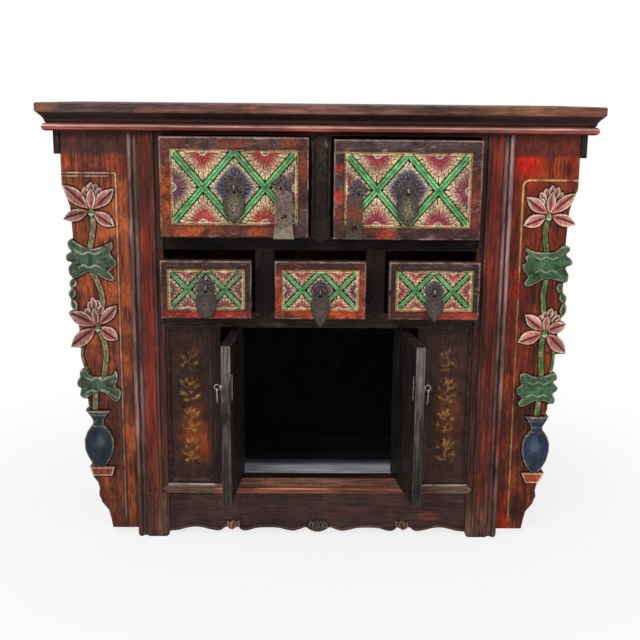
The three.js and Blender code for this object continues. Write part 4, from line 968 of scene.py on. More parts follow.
# Height of the apron's lower edge at x: a smooth line through the drop, the waves and the leaf
def apronEdge(x):
    form = apronForm
    inner = [(form["dropHalf"] + (form["leafX"] - form["leafHalf"] - form["dropHalf"]) * s, r)
             for s, r in form["innerWave"]]
    outer = [(form["leafX"] + form["leafHalf"] + (postEdge - form["leafX"] - form["leafHalf"]) * s, r)
             for s, r in form["outerWave"]]
    places = [(0, -4.5), (8, -3.5), (16, -0.5), (25, 3.5), *inner, (form["leafX"], -0.5), *outer]
    line = smoothLine(places, 6)
    return form["meanEdge"] + form["waveSize"] * np.interp(np.abs(x), line[:, 0], line[:, 1])


# The apron: its grid rises evenly from the lower edge to the top, under two leaf drops and a middle one
def apronBoard():
    low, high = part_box("apron")
    face = frontPlane + apronForm["setback"] * mm
    x1 = np.linspace(low.x / mm, high.x / mm, round((high.x - low.x) / mm / apronForm["cell"]) + 1)
    top = high.z / mm
    edge = np.maximum(apronEdge(x1), low.z / mm)
    share = np.linspace(0, 1, apronForm["rows"])[:, None]
    x, z = np.repeat(x1[None, :], len(share), 0), edge[None, :] + (top - edge[None, :]) * share
    rgb = over(filled(x, (58, 39, 36)), 0.8 * blotches(0.1, 0.8, x, z * 2, 80, 3), (38, 24, 22))
    patch = blob(x, z, (222, 42), (30, 13)) + 0.35 * clouds(x, z, 20, 8)
    rgb = over(rgb, 0.7 * softStep(0.25, 0.8, patch), (122, 66, 50))
    rgb = over(rgb, 0.4 * blotches(0.2, 0.8, x / 2, z * 2, 38, 19), (92, 50, 42))
    rgb = over(rgb, 0.5 * blotches(0.3, 0.8, x / 4, z * 3, 22, 29), (34, 20, 18))
    board = {"height": np.zeros(x.shape), "rgb": rgb}
    above = z - edge[None, :]
    board["height"] += 1.0 * softStep(5.5, 4.5, above) - 1.0 * hump(above, 6.5, 1.2)
    board["rgb"] = over(board["rgb"], 0.45 * softStep(3, 0.5, above), (124, 92, 74))
    pinks = {"core": (116, 54, 52), "pale": (138, 80, 70), "rim": (186, 150, 118),
             "heart": (100, 44, 42), "cut": (80, 34, 32)}
    browns = {"core": (78, 48, 42), "pale": (98, 62, 52), "rim": (140, 106, 84),
              "heart": (70, 42, 38), "cut": (40, 26, 24)}
    greens = {"core": (56, 52, 46), "pale": (66, 62, 55), "rim": (82, 76, 66),
              "heart": (50, 44, 40), "cut": (40, 33, 30)}
    for side, look in ((-1, pinks), (1, browns)):
        tip = side * apronForm["leafX"]
        for reachOut, rise, wide in ((10, 34, 12), (-19, 35, 13), (-6, 39, 14)):
            layPetal(board, x, z, (tip + side * reachOut, rise), (tip, 12.7), wide, 2.4, look, 1.3, 0.5)
    for turnX in (-18, 18, -8, 8, 0):
        layPetal(board, x, z, (turnX * 0.6, 36), (turnX, 9 + abs(turnX) * 0.2), 11, 2.2, greens, 1.3, 0.5)
    height = np.clip(board["height"], -2, 3)
    carvedBoard("carved_apron", x * mm, z * mm, face - height * mm, high.y, board["rgb"], levelPaint,
                "case", ("apron",), (150, 122, 100), 0.35)


apronBoard()
print("apron carved")

# Fixed panels: a sunk field inside a sloped rim, with four worn gilt sprigs
panelForm = {
    "cell": 1.4,
    "border": 5,
    "slope": 5,
    "sink": 3.5,
    "gilt": (170, 122, 56),
    "middles": (96, 33, -30, -93),
    "strands": [
        [(-5, -23), (1, -8), (-3, 10), (2, 22)], [(0, -6), (9, -2), (16, 6)],
        [(-2, 4), (-11, 8), (-17, 16)], [(-1, -12), (-10, -10), (-17, -3)],
        [(-3, -18), (8, -18), (15, -12)], [(-3, 10), (6, 14), (12, 21)],
    ],
    "leaves": [
        ((2, 14), (3, 27), 6), ((-3, 12), (-9, 24), 5), ((8, 2), (17, 9), 5), ((-8, 10), (-18, 18), 5),
        ((10, -16), (18, -10), 5), ((-8, -8), (-19, -8), 5), ((-4, -20), (-13, -22), 5),
        ((3, -2), (12, -9), 4),
    ],
}


# One fixed panel: the slope falls evenly from border to field, and every other sprig is turned over
def panelBoard(name, side):
    low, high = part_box(f"fixed_panel_{name}")
    x1 = np.linspace(low.x, high.x, round((high.x - low.x) / mm / panelForm["cell"]) + 1)
    z1 = np.linspace(low.z, high.z, round((high.z - low.z) / mm / panelForm["cell"]) + 1)
    xm, zm = np.meshgrid(x1, z1)
    centre = (low + high) / 2
    x, z = (xm - centre.x) / mm, (zm - centre.z) / mm
    rim = np.minimum((high.x - low.x) / 2 / mm - np.abs(x), (high.z - low.z) / 2 / mm - np.abs(z))
    sunk = np.clip((rim - panelForm["border"]) / panelForm["slope"], 0, 1)
    height = -panelForm["sink"] * sunk
    rgb = over(filled(x, (56, 34, 28)), 0.6 * blotches(0, 0.8, x, z / 2, 40, side + 3), (38, 22, 18))
    spot = (12, -62) if side < 0 else (6, -20)
    patch = blob(x, z, spot, (30, 66)) + 0.35 * clouds(x * 1.5, z, 26, 12 + side)
    rgb = over(rgb, (0.9 if side < 0 else 0.35) * softStep(0.2, 0.95, patch), (136, 60, 32))
    rgb = over(rgb, 0.5 * blotches(0.1, 0.8, x * 2, z / 2, 24, 61 + side), (30, 17, 14))
    rgb = over(rgb, softStep(1, 0.2, sunk) * 0.8, (34, 22, 19))
    rgb = over(rgb, 0.35 * hump(rim, 9, 1.0), (96, 68, 56))
    worn = blotches(-0.45, 0.35, x, z, 9, 23 + side) * (0.35 + 0.65 * softStep(120, 20, z))
    for index, middle in enumerate(panelForm["middles"]):
        turn = 1 if (index + (side > 0)) % 2 else -1
        parts = [strand(x, z, [(px * turn, pz + middle) for px, pz in line],
                        0.8) for line in panelForm["strands"]]
        for (bx, bz), (tx, tz), width in panelForm["leaves"]:
            parts.append(lens(x, z, (bx * turn, bz + middle), (tx * turn, tz + middle), width, 1.0)[0])
        shape = np.minimum.reduce(parts)
        rgb = over(rgb, 0.3 * softStep(7, 0, shape) * worn, lit(panelForm["gilt"]) * 0.6)
        rgb = over(rgb, 0.85 * softStep(0.7, -0.5, shape) * worn, panelForm["gilt"])
    y = low.y - height * mm
    carvedBoard(f"painted_panel_{name}", xm, zm, y, high.y, rgb, carvingPaint, "case",
                (f"fixed_panel_{name}",), (120, 92, 78), 0.3)


panelBoard("left", -1)
panelBoard("right", 1)
print("panels painted")


# Closed skin through rings of equal count that also close on each other, with its faces turned outwards
def ringSkin(rings):
    count, around = rings.shape[:2]
    i, j = np.meshgrid(np.arange(count), np.arange(around), indexing="ij")
    here, right = i * around + j, i * around + (j + 1) % around
    up, both = ((i + 1) % count) * around + j, ((i + 1) % count) * around + (j + 1) % around
    quads = np.stack([here, right, both, up], -1).reshape(-1, 4)
    points = rings.reshape(-1, 3)
    a, b, c, d = (points[quads[:, k]] for k in range(4))
    volume = np.einsum("ij,ij->i", a, np.cross(b, c)).sum() + np.einsum("ij,ij->i", a,
                                                                        np.cross(c, d)).sum()
    return points, quads if volume > 0 else quads[:, ::-1]


# Ring of points at one depth
def flatRing(xs, depth, zs):
    return np.stack([xs, np.full(len(xs), depth), zs], -1)


# Plate about a round hole: the share of the way from the edge to the hole sets the crown, its back is
# flat, and the edge is rounded over
def crownedPlate(centre, radii, hole, thickness, crown, y, wave=0.0, rim=0.0):
    angles = np.linspace(0, 2 * math.pi, len(radii), endpoint=False)
    shares = np.array([0, 0.03, 0.07, 0.12, 0.16, 0.2, 0.3, 0.42, 0.58, 0.74, 0.88, 1.0])
    lift = np.array([0.35, 0.8] + [1] * 10) * thickness + crown * np.sin(shares * math.pi / 2)
    lift += rim * hump(shares, 0.11, 0.045)
    lift[-1] -= 0.5 * thickness
    front = np.stack([shares, lift], 1)
    back = np.stack([shares[::-1], np.zeros(len(shares))], 1)
    rings = []
    for share, depth in np.vstack([front, back]):
        radius = radii * (1 - share) + hole * share
        ripple = wave * math.sin(share * 9) * (depth > 0)
        rings.append(flatRing(centre[0] + radius * np.cos(angles), y - depth - ripple,
                              centre[1] + radius * np.sin(angles)))
    return ringSkin(np.array(rings))


# Ring of wire about the X way: a circle carried round a larger circle
def wireRing(centre, radius, wire, squash=1.0):
    turn, spin = np.meshgrid(np.linspace(0, 2 * math.pi, 40, endpoint=False),
                             np.linspace(0, 2 * math.pi, 14, endpoint=False), indexing="ij")
    out = radius + wire * np.cos(spin)
    rings = np.stack([centre[0] + wire * np.sin(spin), centre[1] - out * np.cos(turn) * squash,
                      centre[2] + out * np.sin(turn)], -1)
    return ringSkin(rings)


# Wire that follows an outline given by its distances from a centre, at one depth
def edgeWire(centre, radii, wire, y):
    angles = np.linspace(0, 2 * math.pi, len(radii), endpoint=False)
    rings = []
    for spin in np.linspace(0, 2 * math.pi, 10, endpoint=False):
        radius = radii + wire * math.cos(spin)
        rings.append(flatRing(centre[0] + radius * np.cos(angles), y - wire * math.sin(spin),
                              centre[1] + radius * np.sin(angles)))
    return ringSkin(np.array(rings))


# Bar between two corners, as a skin of rings with its edges drawn in a little
def softBar(low, high, soft=0.4):
    low, high = np.array(low, float), np.array(high, float)
    xs = [low[0] + soft, high[0] - soft]
    zs = [low[2] + soft, high[2] - soft]
    corners = np.array([(xs[0], low[2]), (xs[1], low[2]), (high[0], zs[0]), (high[0], zs[1]),
                        (xs[1], high[2]), (xs[0], high[2]), (low[0], zs[1]), (low[0], zs[0])])
    middle = corners.mean(0)
    rings = []
    front, back = low[1], high[1]
    for depth, scale in ((front, 0.02), (front, 0.9), (front + soft, 1), (back - soft, 1), (back, 0.9),
                         (back, 0.02)):
        ring = middle + (corners - middle) * scale
        rings.append(flatRing(ring[:, 0], depth, ring[:, 1]))
    return ringSkin(np.array(rings))


# Object made of several skins given in mm, each skin's faces counted on from the points before it
def skinObject(name, skins, material, body, stands=(), smooth=35.0):
    points = np.vstack([skin for skin, quads in skins]) * mm
    starts = np.cumsum([0] + [len(skin) for skin, quads in skins])
    faces = np.vstack([quads + start for (skin, quads), start in zip(skins, starts)])
    return meshObject(name, points, faces.tolist(), material, body, stands, smooth)


# Distance from a centre to a closed outline of straight parts, at even angles
def reachOf(outline, centre, count=120, smooth=True):
    line = np.array([*outline, outline[0]], float)
    fine = np.vstack([np.linspace(p, q, 16, endpoint=False) for p, q in zip(line, line[1:])])
    fine = fine - np.array(centre)
    angles = np.arctan2(fine[:, 1], fine[:, 0])
    order = np.argsort(angles)
    even = np.linspace(0, 2 * math.pi, count, endpoint=False)
    radii = np.interp(even, angles[order], np.hypot(fine[:, 0], fine[:, 1])[order], period=2 * math.pi)
    if smooth:
        radii = (np.roll(radii, 1) + 2 * radii + np.roll(radii, -1)) / 4
    return radii


# Half outline followed by its mirror image in x
def bothSides(half):
    return [*half, *[(-x, z) for x, z in half[1:-1]][::-1]]


largeDrop = [(0, -4), (7, -6), (14, -12), (20, -22), (21.5, -32), (19, -44), (13, -54), (6, -62),
             (0, -67)]
ironWork = {
    "eyeRadius": 5.5,
    "wire": 1.5,
    "eyeDepth": 8.8,
    "holeDrop": 7,
    "hole": 3.5,
    "ring": 6.7,
    "thickness": 2.2,
    "drops": {
        "upper_left": largeDrop,
        "upper_right": largeDrop,
        "lower_left": [(0, -4), (7, -6), (15, -10), (19, -20), (19.5, -34), (17, -46), (11, -55),
                       (0, -59)],
        "lower_middle": [(0, -4), (8, -6), (15, -12), (18.5, -22), (18, -32), (14, -46), (8, -58),
                         (0, -69)],
        "lower_right": [(0, -4), (8, -7), (15, -14), (18.8, -24), (17, -34), (11, -44), (5, -52),
                        (0, -59)],
    },
}
darkIron = iron("dark iron", (34, 26, 26), (72, 58, 58), (150, 136, 134), 0.35)
pullIron = iron("olive iron", (40, 32, 30), (70, 60, 50), (150, 140, 120), 0.3, patinaShare=0.8,
                middle=(136, 124, 96))
brownIron = iron("brown iron", (46, 38, 36), (68, 56, 50), (138, 126, 116), 0.3, patinaShare=0.8,
                 middle=(86, 72, 62))
eyeIron = iron("bright iron", (96, 88, 84), (150, 142, 136), (224, 218, 212), 0.9, (0.18, 0.32))
# Pale glossy iron for the plates' rims: its pale colour is a painted highlight
rimHighlightIron = iron("rim iron", (96, 84, 82), (132, 120, 116), (196, 186, 180), 0.6, (0.25, 0.4))


# Colour of a hasp up its height, in metres from its foot to its top, by stops of share and colour
def upHasp(low, high, stops):
    def colour(tree, place):
        return rampOn(tree, between(tree, partsOf(tree, place)[2], low, high), stops)
    return colour


strapLow, strapHigh = (corner.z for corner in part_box("hasp_strap_upper_left"))
# The pale stops at the foot of the left hasp are painted light on its bent foot
haspIronLeft = iron("left hasp iron", upHasp(strapLow, strapHigh, [
    (0, (104, 92, 74)), (0.16, (92, 80, 68)), (0.22, (66, 50, 46)), (0.6, (80, 62, 58)),
    (1, (66, 54, 54))]), (116, 98, 90), (168, 152, 134), 0.15, patinaShare=0.8)
haspIronRight = iron("right hasp iron", upHasp(strapLow, strapHigh, [
    (0, (58, 52, 40)), (0.2, (44, 36, 28)), (0.32, (72, 34, 22)), (0.46, (126, 42, 24)),
    (0.6, (84, 44, 32)), (0.75, (66, 58, 56)), (1, (70, 64, 66))]),
    (62, 40, 26), (136, 126, 98), 0.15, patinaShare=0.7)
diamondIron = iron("diamond iron", (40, 34, 34), (84, 72, 70), (186, 176, 170), 0.4, edge=1.0)


# The eye's middle above a drop's own box: the drop's top lies 0.3 mm under it
def eyeOf(dropNode):
    low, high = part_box(dropNode)
    return (low.x + high.x) / 2 / mm, (low.y + high.y) / 2 / mm, high.z / mm + 0.3


# One pull: the hanging drop, the plate with its folded shank, the eye and the plate's rim, a wire of
# glossy iron whose pale colour is a painted highlight
def pullPieces(name, body, pullBody, plateRadii, crown):
    x, y, z = eyeOf(f"pull_drop_{name}")
    face = y + ironWork["eyeDepth"]
    outline = [(x + px, z + pz) for px, pz in bothSides(ironWork["drops"][name])]
    hole = (x, z - ironWork["holeDrop"])
    radii = np.maximum(reachOf(outline, hole), ironWork["ring"])
    skin = crownedPlate(hole, radii, ironWork["hole"], 1.6, 0.7, y + ironWork["thickness"] / 2)
    kind = brownIron if name.startswith("lower") else pullIron
    drop = skinObject(f"iron_drop_{name}", [skin], kind, pullBody, (f"pull_drop_{name}",), smooth=50)
    middle = blob(skin[0][:, 0] - x, skin[0][:, 2] - z, (1, -36), (10, 17))
    drop.data.attributes.new("middle", "FLOAT", "POINT").data.foreach_set("value",
                                                                          middle.astype(np.float32))
    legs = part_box(f"pull_mount_{name}")[1].y / mm
    plate = crownedPlate((x, z), plateRadii, 1.2, 1.2, crown, face - 0.3, 0.12, 0.9)
    shank = softBar((x - 2, y + 5, z - 2.5), (x + 2, legs, z + 2.5))
    fold = softBar((x - 2, legs - 2, z - 24), (x + 2, legs, z + 24))
    skinObject(f"iron_plate_{name}", [plate, shank, fold], darkIron, body, (f"pull_mount_{name}",),
               smooth=50)
    bright = [wireRing((x, y, z), ironWork["eyeRadius"], ironWork["wire"])]
    if name == "lower_left":
        bright.append(crownedPlate((x, z + 15), np.full(24, 2.6), 0.3, 1.2, 1.2, face - 0.6))
    skinObject(f"iron_eye_{name}", bright, eyeIron, body)
    # Rim wire whose pale colour is a painted highlight along the plate's edge
    rim = edgeWire((x, z), plateRadii * 0.9, 0.75, face - 0.3 - 1.2 - crown * 0.16)
    skinObject(f"iron_rim_{name}", [rim], rimHighlightIron, body)


evenTurn = np.linspace(0, 2 * math.pi, 96, endpoint=False)
roundPlate = np.full(96, 22.0)
smallRound = np.full(96, 17.0)
scallopedPlate = 16 + 1.4 * np.abs(np.cos(4 * evenTurn))
shieldPlate = reachOf([(-10, 14), (10, 14), (17, 4), (15, -10), (0, -17), (-15, -10), (-17, 4)], (0, 0),
                      96)
for pullName, size, side, plateRadii, crown in (
        ("upper_left", "large", "left", roundPlate, 1.8), ("upper_right", "large", "right", roundPlate,
                                                           1.8),
        ("lower_left", "small", "left", smallRound, 1.4), ("lower_middle", "small", "middle", shieldPlate,
                                                           1.4),
        ("lower_right", "small", "right", scallopedPlate, 1.4)):
    pullPieces(pullName, f"{size}_drawer_{side}", f"{size}_pull_{side}", plateRadii, crown)


# Copy of a node with its flat faces made whole and its edges bevelled
def bevelled(name, node, width, material, body):
    mesh = nodes[node].data.copy()
    mesh.name = name
    shape = bmesh.new()
    shape.from_mesh(mesh)
    bmesh.ops.remove_doubles(shape, verts=shape.verts, dist=1e-6)
    bmesh.ops.dissolve_limit(shape, angle_limit=math.radians(1), verts=shape.verts, edges=shape.edges)
    shape.to_mesh(mesh)
    shape.free()
    coat(mesh, material)
    piece = linked(name, mesh)
    bevel = piece.modifiers.new("bevel", "BEVEL")
    bevel.width = width * mm
    bevel.segments = 2
    bevel.limit_method = "ANGLE"
    bevel.angle_limit = math.radians(35)
    mesh.shade_smooth()
    mesh.set_sharp_from_angle(angle=math.radians(35))
    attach(piece, body)
    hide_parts(node)


for name, hasp in (("left", haspIronLeft), ("right", haspIronRight)):
    bevelled(f"iron_hasp_{name}", f"hasp_strap_upper_{name}", 0.5, hasp, f"hasp_{name}")
    bevelled(f"iron_diamond_{name}", f"hasp_mount_upper_{name}", 0.35, diamondIron,
             f"large_drawer_{name}")
print("ironwork made")


# Centre divider: its face ends in a point below and cut corners above, with a furrow along the middle
def dividerBoard():
    low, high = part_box("centre_divider")
    half, tall = (high.x - low.x) / 2 / mm, (high.z - low.z) / mm
    columns, rows = 35, 160
    x1, share = np.linspace(-half, half, columns), np.linspace(0, 1, rows)[:, None]
    foot, head = 10 * np.abs(x1) / half, tall - 4 * np.abs(x1) / half
    x, z = np.repeat(x1[None, :], rows, 0), foot + (head - foot) * share
    tongue = np.maximum.reduce([np.abs(x) - half + 2, z - tall + 5,
                                (np.abs(x) + z - half - tall + 20) * 0.7])
    inside = softStep(0.8, -0.8, tongue)
    furrow = np.where(z < 56, np.hypot(x, (z - 56) * 0.8), np.abs(x)) - half * 0.62
    groove = hump(furrow, 0, 1.2) * softStep(tall - 12, tall - 26, z)
    height = -2.4 + 2.4 * inside - 0.9 * groove
    rgb = over(filled(x, (42, 31, 28)), 0.7 * blotches(0, 0.8, x * 3, z / 2, 30, 4), (20, 14, 13))
    olive = blob(x, z, (4, tall - 44), (9, 26))
    rgb = over(rgb, 0.8 * olive * blotches(-0.4, 0.5, x, z, 7, 14), (92, 84, 54))
    rgb = over(rgb, 0.5 * blotches(0.2, 0.9, x * 3, z / 3, 14, 24), (74, 54, 46))
    rgb = over(rgb, 1 - inside, (24, 16, 14))
    rubbed = hump(tongue, -0.9, 0.8) * blotches(-0.3, 0.5, x, z, 12, 34)
    rgb = over(rgb, 0.6 * rubbed * softStep(tall - 60, tall - 10, z), (126, 106, 98))
    rgb = over(rgb, 0.7 * groove, (14, 9, 8))
    scratch = lens(x, z, (7, tall - 12), (12, tall - 27), 2.4, 1.0)[0]
    rgb = over(rgb, 0.8 * softStep(0.6, -0.4, scratch), (176, 158, 156))
    middle = (low.x + high.x) / 2
    carvedBoard("carved_divider", middle + x * mm, low.z + z * mm, low.y - height * mm, low.y + 6 * mm,
                rgb,
                carvingPaint, "case", ("centre_divider",), (120, 100, 90), 0.3)
    bar = softBar((low.x / mm, low.y / mm + 6, low.z / mm + 10), (high.x / mm, high.y / mm,
                                                                  high.z / mm - 4))
    wood = lacquer("divider wood", {"base": (36, 28, 25), "dark": (20, 14, 13), "grain": "z"})
    skinObject("divider_body", [bar], wood, "case", ())


dividerBoard()
print("divider carved")


# Mitred shoulders: small wedges on the posts where the rails end, each pointing outwards
def wedge(side, foot, top, reach):
    outline = np.array([(postEdge, foot), (postEdge + reach, (foot + top) / 2), (postEdge, top)])
    middle = outline.mean(0)
    face = frontPlane / mm
    rings = []
    for depth, scale in ((0.4, 0.02), (0.4, 1), (-0.7, 1), (-1.1, 0.86), (-1.1, 0.02)):
        ring = middle + (outline - middle) * scale
        rings.append(flatRing(side * ring[:, 0], face + depth, ring[:, 1]))
    return ringSkin(np.array(rings))


for sideName, side in (("left", -1), ("right", 1)):
    for railName, foot, top, railMaterial in (
            ("bottom", 94.5, 113.5, {"base": (112, 84, 72), "dark": (74, 48, 40)}),
            ("middle", 441, 466, {"base": (50, 38, 35), "dark": (30, 21, 19)}),
            ("upper", 593, 615, {"base": (44, 30, 27), "dark": (22, 14, 12)})):
        shoulderWood = lacquer(f"{railName} shoulder wood {sideName}", {
            **railMaterial, "worn": (196, 170, 152), "rub": 1.0, "round": 0.8})
        skinObject(f"{railName}_shoulder_{sideName}", [wedge(side, foot, top, 10.5)], shoulderWood,
                   "case", ())

# The case: each node's own lacquer
redWood = {"dark": (62, 30, 25), "patch": (140, 56, 38)}


# Colours of the post across its width: outer bead, groove, field, inner bead, flat. The thin pale lines
# on the beads are painted highlights, and the dark lines in the grooves are painted shade.
def acrossPost(tree, place):
    split = partsOf(tree, place)
    out = sums(tree, "ABSOLUTE", split[0])
    way = between(tree, out, 0.302, 0.366)
    upper = rampOn(tree, way, [
        (0.0, (74, 32, 28)), (0.14, (62, 34, 31)), (0.18, (36, 18, 16)), (0.24, (96, 60, 56)),
        (0.31, (60, 30, 27)), (0.34, (130, 42, 27)), (0.52, (110, 38, 26)), (0.64, (134, 44, 28)),
        (0.68, (44, 24, 22)), (0.78, (150, 114, 110)), (0.84, (66, 42, 39)), (0.9, (168, 132, 128)),
        (1.0, (112, 76, 70))])
    low = ease(tree, split[2], 0.42, 0.12)
    lower = mixColour(tree, low, upper, mixColour(tree, 0.55, upper, (88, 48, 34)))
    return mixColour(tree, ease(tree, split[2], 0.12, 0.01, 0, 0.6), lower, (108, 84, 72))


# Colours of the moulding up its height: red bead with a pale top, dark cove, brown lip. The pale lines on
# the bead are painted highlights, and its dark underside and the near black cove under the top board are
# painted shade.
def upMoulding(tree, place):
    height = partsOf(tree, place)[2]
    way = between(tree, height, 0.8135, 0.848)
    return rampOn(tree, way, [
        (0.0, (50, 14, 12)), (0.08, (104, 34, 28)), (0.15, (178, 92, 78)), (0.22, (112, 38, 32)),
        (0.3, (222, 176, 166)), (0.36, (150, 84, 76)), (0.44, (52, 20, 18)), (0.72, (12, 5, 5)),
        (0.85, (27, 13, 12)), (1.0, (66, 36, 32))])


# A side panel is nearly black inside as painted shade and brown outside, split within its thickness
def sideColour(tree, place):
    out = sums(tree, "ABSOLUTE", partsOf(tree, place)[0])
    return mixColour(tree, ease(tree, out, 0.354, 0.36), paintedShadeInside, (76, 44, 35))


# Back: upright boards 11 cm wide, each of its own tone, with dark joints between them
def backColour(tree, place):
    split = partsOf(tree, place)
    board = sums(tree, "DIVIDE", sums(tree, "ADD", split[0], 0.385), 0.11)
    number = sums(tree, "FLOOR", board)
    tone = addNode(tree, "ShaderNodeTexWhiteNoise", {"W": number}, noise_dimensions="1D").outputs["Value"]
    streaks = noiseOn(tree, stretched(tree, place, (26, 1, 0.7)), 5, 8, 0.4, 0.6)
    outer = mixColour(tree, ease(tree, tone, 0, 1, 0.0, 0.5), (112, 84, 62), (82, 60, 45))
    outer = mixColour(tree, ease(tree, streaks, 0.42, 0.66, 0, 0.7), outer, (62, 44, 33))
    away = sums(tree, "ABSOLUTE", sums(tree, "SUBTRACT", sums(tree, "FRACT", board), 0.5))
    outer = mixColour(tree, ease(tree, away, 0.482, 0.492), outer, (26, 18, 14))
    # Inside, the back is near black as painted shade
    return mixColour(tree, ease(tree, split[1], 0.248, 0.252), paintedShadeInside, outer)


# Pale strip near the front of the cabinet's floor that dies away towards the back: painted light, with
# painted shade behind it
def floorLightAndShade(tree, place):
    depth = partsOf(tree, place)[1]
    way = between(tree, depth, frontPlane + 0.03, frontPlane + 0.2)
    return rampOn(tree, way, [
        (0.0, (150, 148, 154)), (0.24, (196, 196, 206)), (0.46, (190, 192, 204)),
        (0.56, (90, 92, 102)), (0.7, (24, 24, 27)), (1.0, (8, 8, 9))])


# Colours of the top board along X: grey brown, then redder in the middle, then orange brown at the right
def alongTop(tree, place):
    across = partsOf(tree, place)[0]
    way = between(tree, across, -0.528, 0.528)
    return rampOn(tree, way, [
        (0.0, (112, 76, 64)), (0.05, (84, 68, 62)), (0.3, (104, 66, 58)), (0.48, (122, 82, 74)),
        (0.66, (104, 70, 58)), (0.84, (130, 84, 56)), (1.0, (104, 58, 52))])


# The bottom rail is red brown in front and dark on top, and greyer where it frames the fixed panels. The
# dark top is painted shade, the pale lines in front are painted highlights, and the pale top edge where it
# frames the panels is partly wear and partly painted highlight.
def bandColour(tree, place):
    split = partsOf(tree, place)
    sides = ease(tree, sums(tree, "ABSOLUTE", split[0]), 0.2, 0.214)
    way = between(tree, split[2], 0.09, 0.1145)
    # Pale stops in the front's ramp are painted highlights along the mouldings
    middle = rampOn(tree, way, [
        (0.0, (70, 36, 28)), (0.12, (176, 122, 98)), (0.22, (160, 88, 58)), (0.5, (138, 70, 46)),
        (0.6, (184, 128, 108)), (0.68, (84, 46, 36)), (0.9, (98, 54, 40)), (1.0, (112, 72, 56))])
    # The pale top stops are partly wear, partly painted highlight along the top edge
    edges = rampOn(tree, way, [
        (0.0, (60, 44, 36)), (0.3, (96, 70, 56)), (0.6, (100, 74, 60)), (0.86, (104, 84, 74)),
        (0.94, (196, 186, 178)), (1.0, (200, 190, 184))])
    front = mixColour(tree, sides, middle, edges)
    # Painted shade: the rail's top, behind its front, is near black
    behind = ease(tree, split[1], frontPlane + 3.5 * mm, frontPlane + 7 * mm)
    return mixColour(tree, behind, front, (12, 9, 9))


# Near black for the cabinet's inside faces and shelves: painted shade
paintedShadeInside = (7, 6, 6)
plainInside = {"dark": (4, 4, 4), "dust": 0.0, "rub": 0.0, "specular": 0.08}
postWood = {"base": acrossPost, "grain": "z", "round": 1.2, "grainDepth": 0.6, "toneScale": 12}
caseLooks = {
    "top_board": {"base": alongTop, "dark": (54, 38, 34), "patch": (136, 84, 58), "patchScale": 20,
                  "patchFrom": 0.55, "worn": (190, 160, 146), "round": 2.6,
                  "bump": 0.8, "rub": 0.9, "toneScale": 22, "toneShare": 0.85},
    "top_moulding": {"base": upMoulding, "dark": (44, 18, 15), "toneScale": 6, "toneShare": 0.5,
                     "grimeAndCornerShade": 0.3, "rub": 0.3, "grainDepth": 0.45, "specular": 0.2},
    "top_rail": {**redWood, "base": (60, 28, 24)},
    # The upper rail is near black as painted shade under the drawers
    "upper_rail": {**redWood, "base": (18, 11, 10), "dark": (10, 6, 5), "patchFrom": 0.72, "dust": 0.2,
                   "patch": (64, 30, 24), "worn": (90, 64, 54)},
    "middle_rail": {**redWood, "base": (48, 36, 33), "dark": (30, 21, 19), "patchFrom": 0.74},
    "bottom_rail": {"base": bandColour, "dark": (70, 38, 30), "worn": (206, 168, 146), "toneShare": 0.7,
                    "rub": 1.0, "round": 1.4, "grimeAndCornerShade": 0.3, "grainDepth": 0.6, "toneScale": 20},
    "small_divider": {"base": (32, 23, 20), "dark": (18, 12, 11), "grain": "z", "worn": (80, 64, 56)},
    "front_post_left": {**postWood, "dark": (54, 31, 27), "patch": (132, 52, 36), "patchFrom": 0.6,
                        "rub": 0.8, "toneShare": 0.75},
    "front_post_right": {**postWood, "dark": (48, 24, 20), "patch": (142, 48, 30), "patchFrom": 0.58,
                         "rub": 0.6, "toneShare": 0.8},
    "door_stile": {"base": (44, 31, 28), "dark": (26, 18, 16), "grain": "z"},
    "end_board": {"base": (34, 27, 25), "dark": (20, 15, 14)},
    "side_panel": {"base": sideColour, "grain": "z", **plainInside, "toneShare": 0.5},
    "back_panel": {"base": backColour, "grain": "z", **plainInside, "grainDepth": 0.25, "toneShare": 0.2,
                   "rough": (0.6, 0.85), "specular": 0.1},
    "back_post": {"base": (66, 42, 35), "dark": (42, 27, 23), "grain": "z"},
    "cabinet_floor": {"base": floorLightAndShade, "dark": (30, 30, 34), "rough": (0.5, 0.8), "toneShare": 0.3,
                      "grimeAndCornerShade": 0.0, "rub": 0.0, "dust": 0.0, "grainDepth": 0.5},
    "lower_shelf": {"base": paintedShadeInside, **plainInside},
    "upper_shelf": {"base": (20, 16, 14), **plainInside},
    "side_rail": {"base": paintedShadeInside, "grain": "y", **plainInside},
}
for lookName, look in caseLooks.items():
    for nodeName in (lookName,) if lookName in nodes else (f"{lookName}_left", f"{lookName}_right"):
        coat(nodes[nodeName].data, lacquer(nodeName.replace("_", " "), look))
boxWood = lacquer("drawer wood", {
    "base": (92, 70, 52), "dark": (48, 36, 28), "grain": "y", "grainDepth": 0.6, "rough": (0.6, 0.85),
    "specular": 0.25, "worn": (140, 116, 92)})


# The doors are dark on their broad faces and paler along the free edge, most of all near its top
def doorColour(tree, place):
    split = partsOf(tree, place)
    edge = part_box("door_left")[0].y
    pale = mixColour(tree, ease(tree, split[2], 0.2, 0.42), (58, 50, 44), (112, 102, 98))
    return mixColour(tree, ease(tree, split[1], edge + 4 * mm, edge + 1.5 * mm), (38, 31, 29), pale)


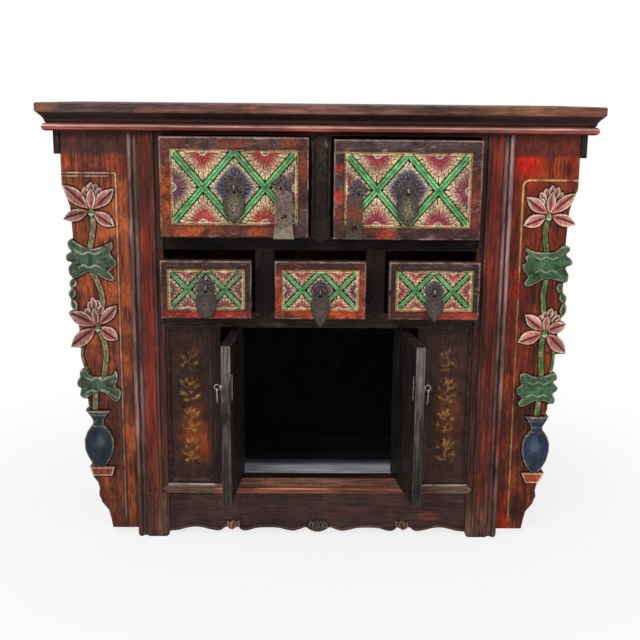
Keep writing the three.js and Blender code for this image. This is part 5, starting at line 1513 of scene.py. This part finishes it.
doorWood = lacquer("door wood", {
    "base": doorColour, "dark": (26, 21, 20), "grain": "z", "worn": (140, 126, 118), "rub": 1.0,
    "round": 1.6, "patch": (66, 46, 40), "patchFrom": 0.64, "grainDepth": 0.7})
for nodeName in nodes.keys():
    if nodeName.startswith("drawer_box"):
        coat(nodes[nodeName].data, boxWood)
for name in ("left", "right"):
    bevelled(f"door_leaf_{name}", f"door_{name}", 0.8, doorWood, f"{name}_door")
    bevelled(f"door_ring_{name}", f"door_pull_mount_{name}", 0.3, eyeIron, f"{name}_door")
    bevelled(f"door_drop_{name}", f"door_pull_drop_{name}", 0.4, eyeIron, f"{name}_door_pull")
print("case finished")

# Light: an even white surround, a broad lamp over the camera's left shoulder and a weak one at the right
bpy.context.scene.view_settings.view_transform = "Standard"
studio = {"surround": 0.46, "lampPower": 58, "lampPlace": (-0.9, -2.6, 2.4), "fillPower": 12}
world = bpy.data.worlds.new("studio")
bpy.context.scene.world = world
world.use_nodes = True
tree = world.node_tree
paths = addNode(tree, "ShaderNodeLightPath").outputs
seen = sums(tree, "MAXIMUM", sums(tree, "MAXIMUM", paths["Is Camera Ray"], paths["Is Glossy Ray"]),
            paths["Is Transmission Ray"])
strength = addNode(tree, "ShaderNodeMapRange", {0: seen, 3: studio["surround"], 4: 1.0}).outputs[0]
tree.links.new(strength, tree.nodes["Background"].inputs["Strength"])
tree.nodes["Background"].inputs["Color"].default_value = (1, 1, 1, 1)


# Lamp of a given size at a place, turned to face its target
def areaLight(name, place, target, size, power):
    data = bpy.data.lights.new(name, "AREA")
    data.shape = "RECTANGLE"
    data.size, data.size_y = size
    data.energy = power
    light = linked(name, data)
    light.location = place
    light.rotation_euler = (Vector(target) - Vector(place)).to_track_quat("-Z", "Y").to_euler()


areaLight("key", studio["lampPlace"], (0, 0, 0.5), (1.6, 1.2), studio["lampPower"])
areaLight("fill", (1.6, -2.4, 1.2), (0, 0, 0.4), (1.0, 1.0), studio["fillPower"])

# Floor: white where the camera or a reflection sees it, with the cabinet's shadow kept faint
floorMaterial = bpy.data.materials.new("floor")
floorMaterial.use_nodes = True
tree = floorMaterial.node_tree
tree.nodes["Principled BSDF"].inputs["Base Color"].default_value = (0.9, 0.9, 0.9, 1)
tree.nodes["Principled BSDF"].inputs["Roughness"].default_value = 0.9
tree.nodes["Principled BSDF"].inputs["Specular IOR Level"].default_value = 0.0
glow = addNode(tree, "ShaderNodeEmission", {"Color": (1, 1, 1, 1), "Strength": 1.0})
paths = addNode(tree, "ShaderNodeLightPath").outputs
spread = addNode(tree, "ShaderNodeVectorMath", {0: addNode(tree, "ShaderNodeTexCoord").outputs["Object"]},
                 operation="LENGTH").outputs["Value"]
seen = sums(tree, "MULTIPLY", sums(tree, "MAXIMUM", paths["Is Camera Ray"], paths["Is Glossy Ray"]),
            ease(tree, spread, 0.5, 1.3, 0.8, 1.0))
mix = addNode(tree, "ShaderNodeMixShader", {0: seen, 1: tree.nodes["Principled BSDF"].outputs[0],
                                            2: glow.outputs[0]})
tree.links.new(mix.outputs[0], tree.nodes["Material Output"].inputs["Surface"])
floorMesh = bpy.data.meshes.new("floor")
floorMesh.from_pydata([(-8, -8, 0), (8, -8, 0), (8, 8, 0), (-8, 8, 0)], [], [(0, 1, 2, 3)])
floorMesh.materials.append(floorMaterial)
floor = linked("floor", floorMesh)
print("lights set")
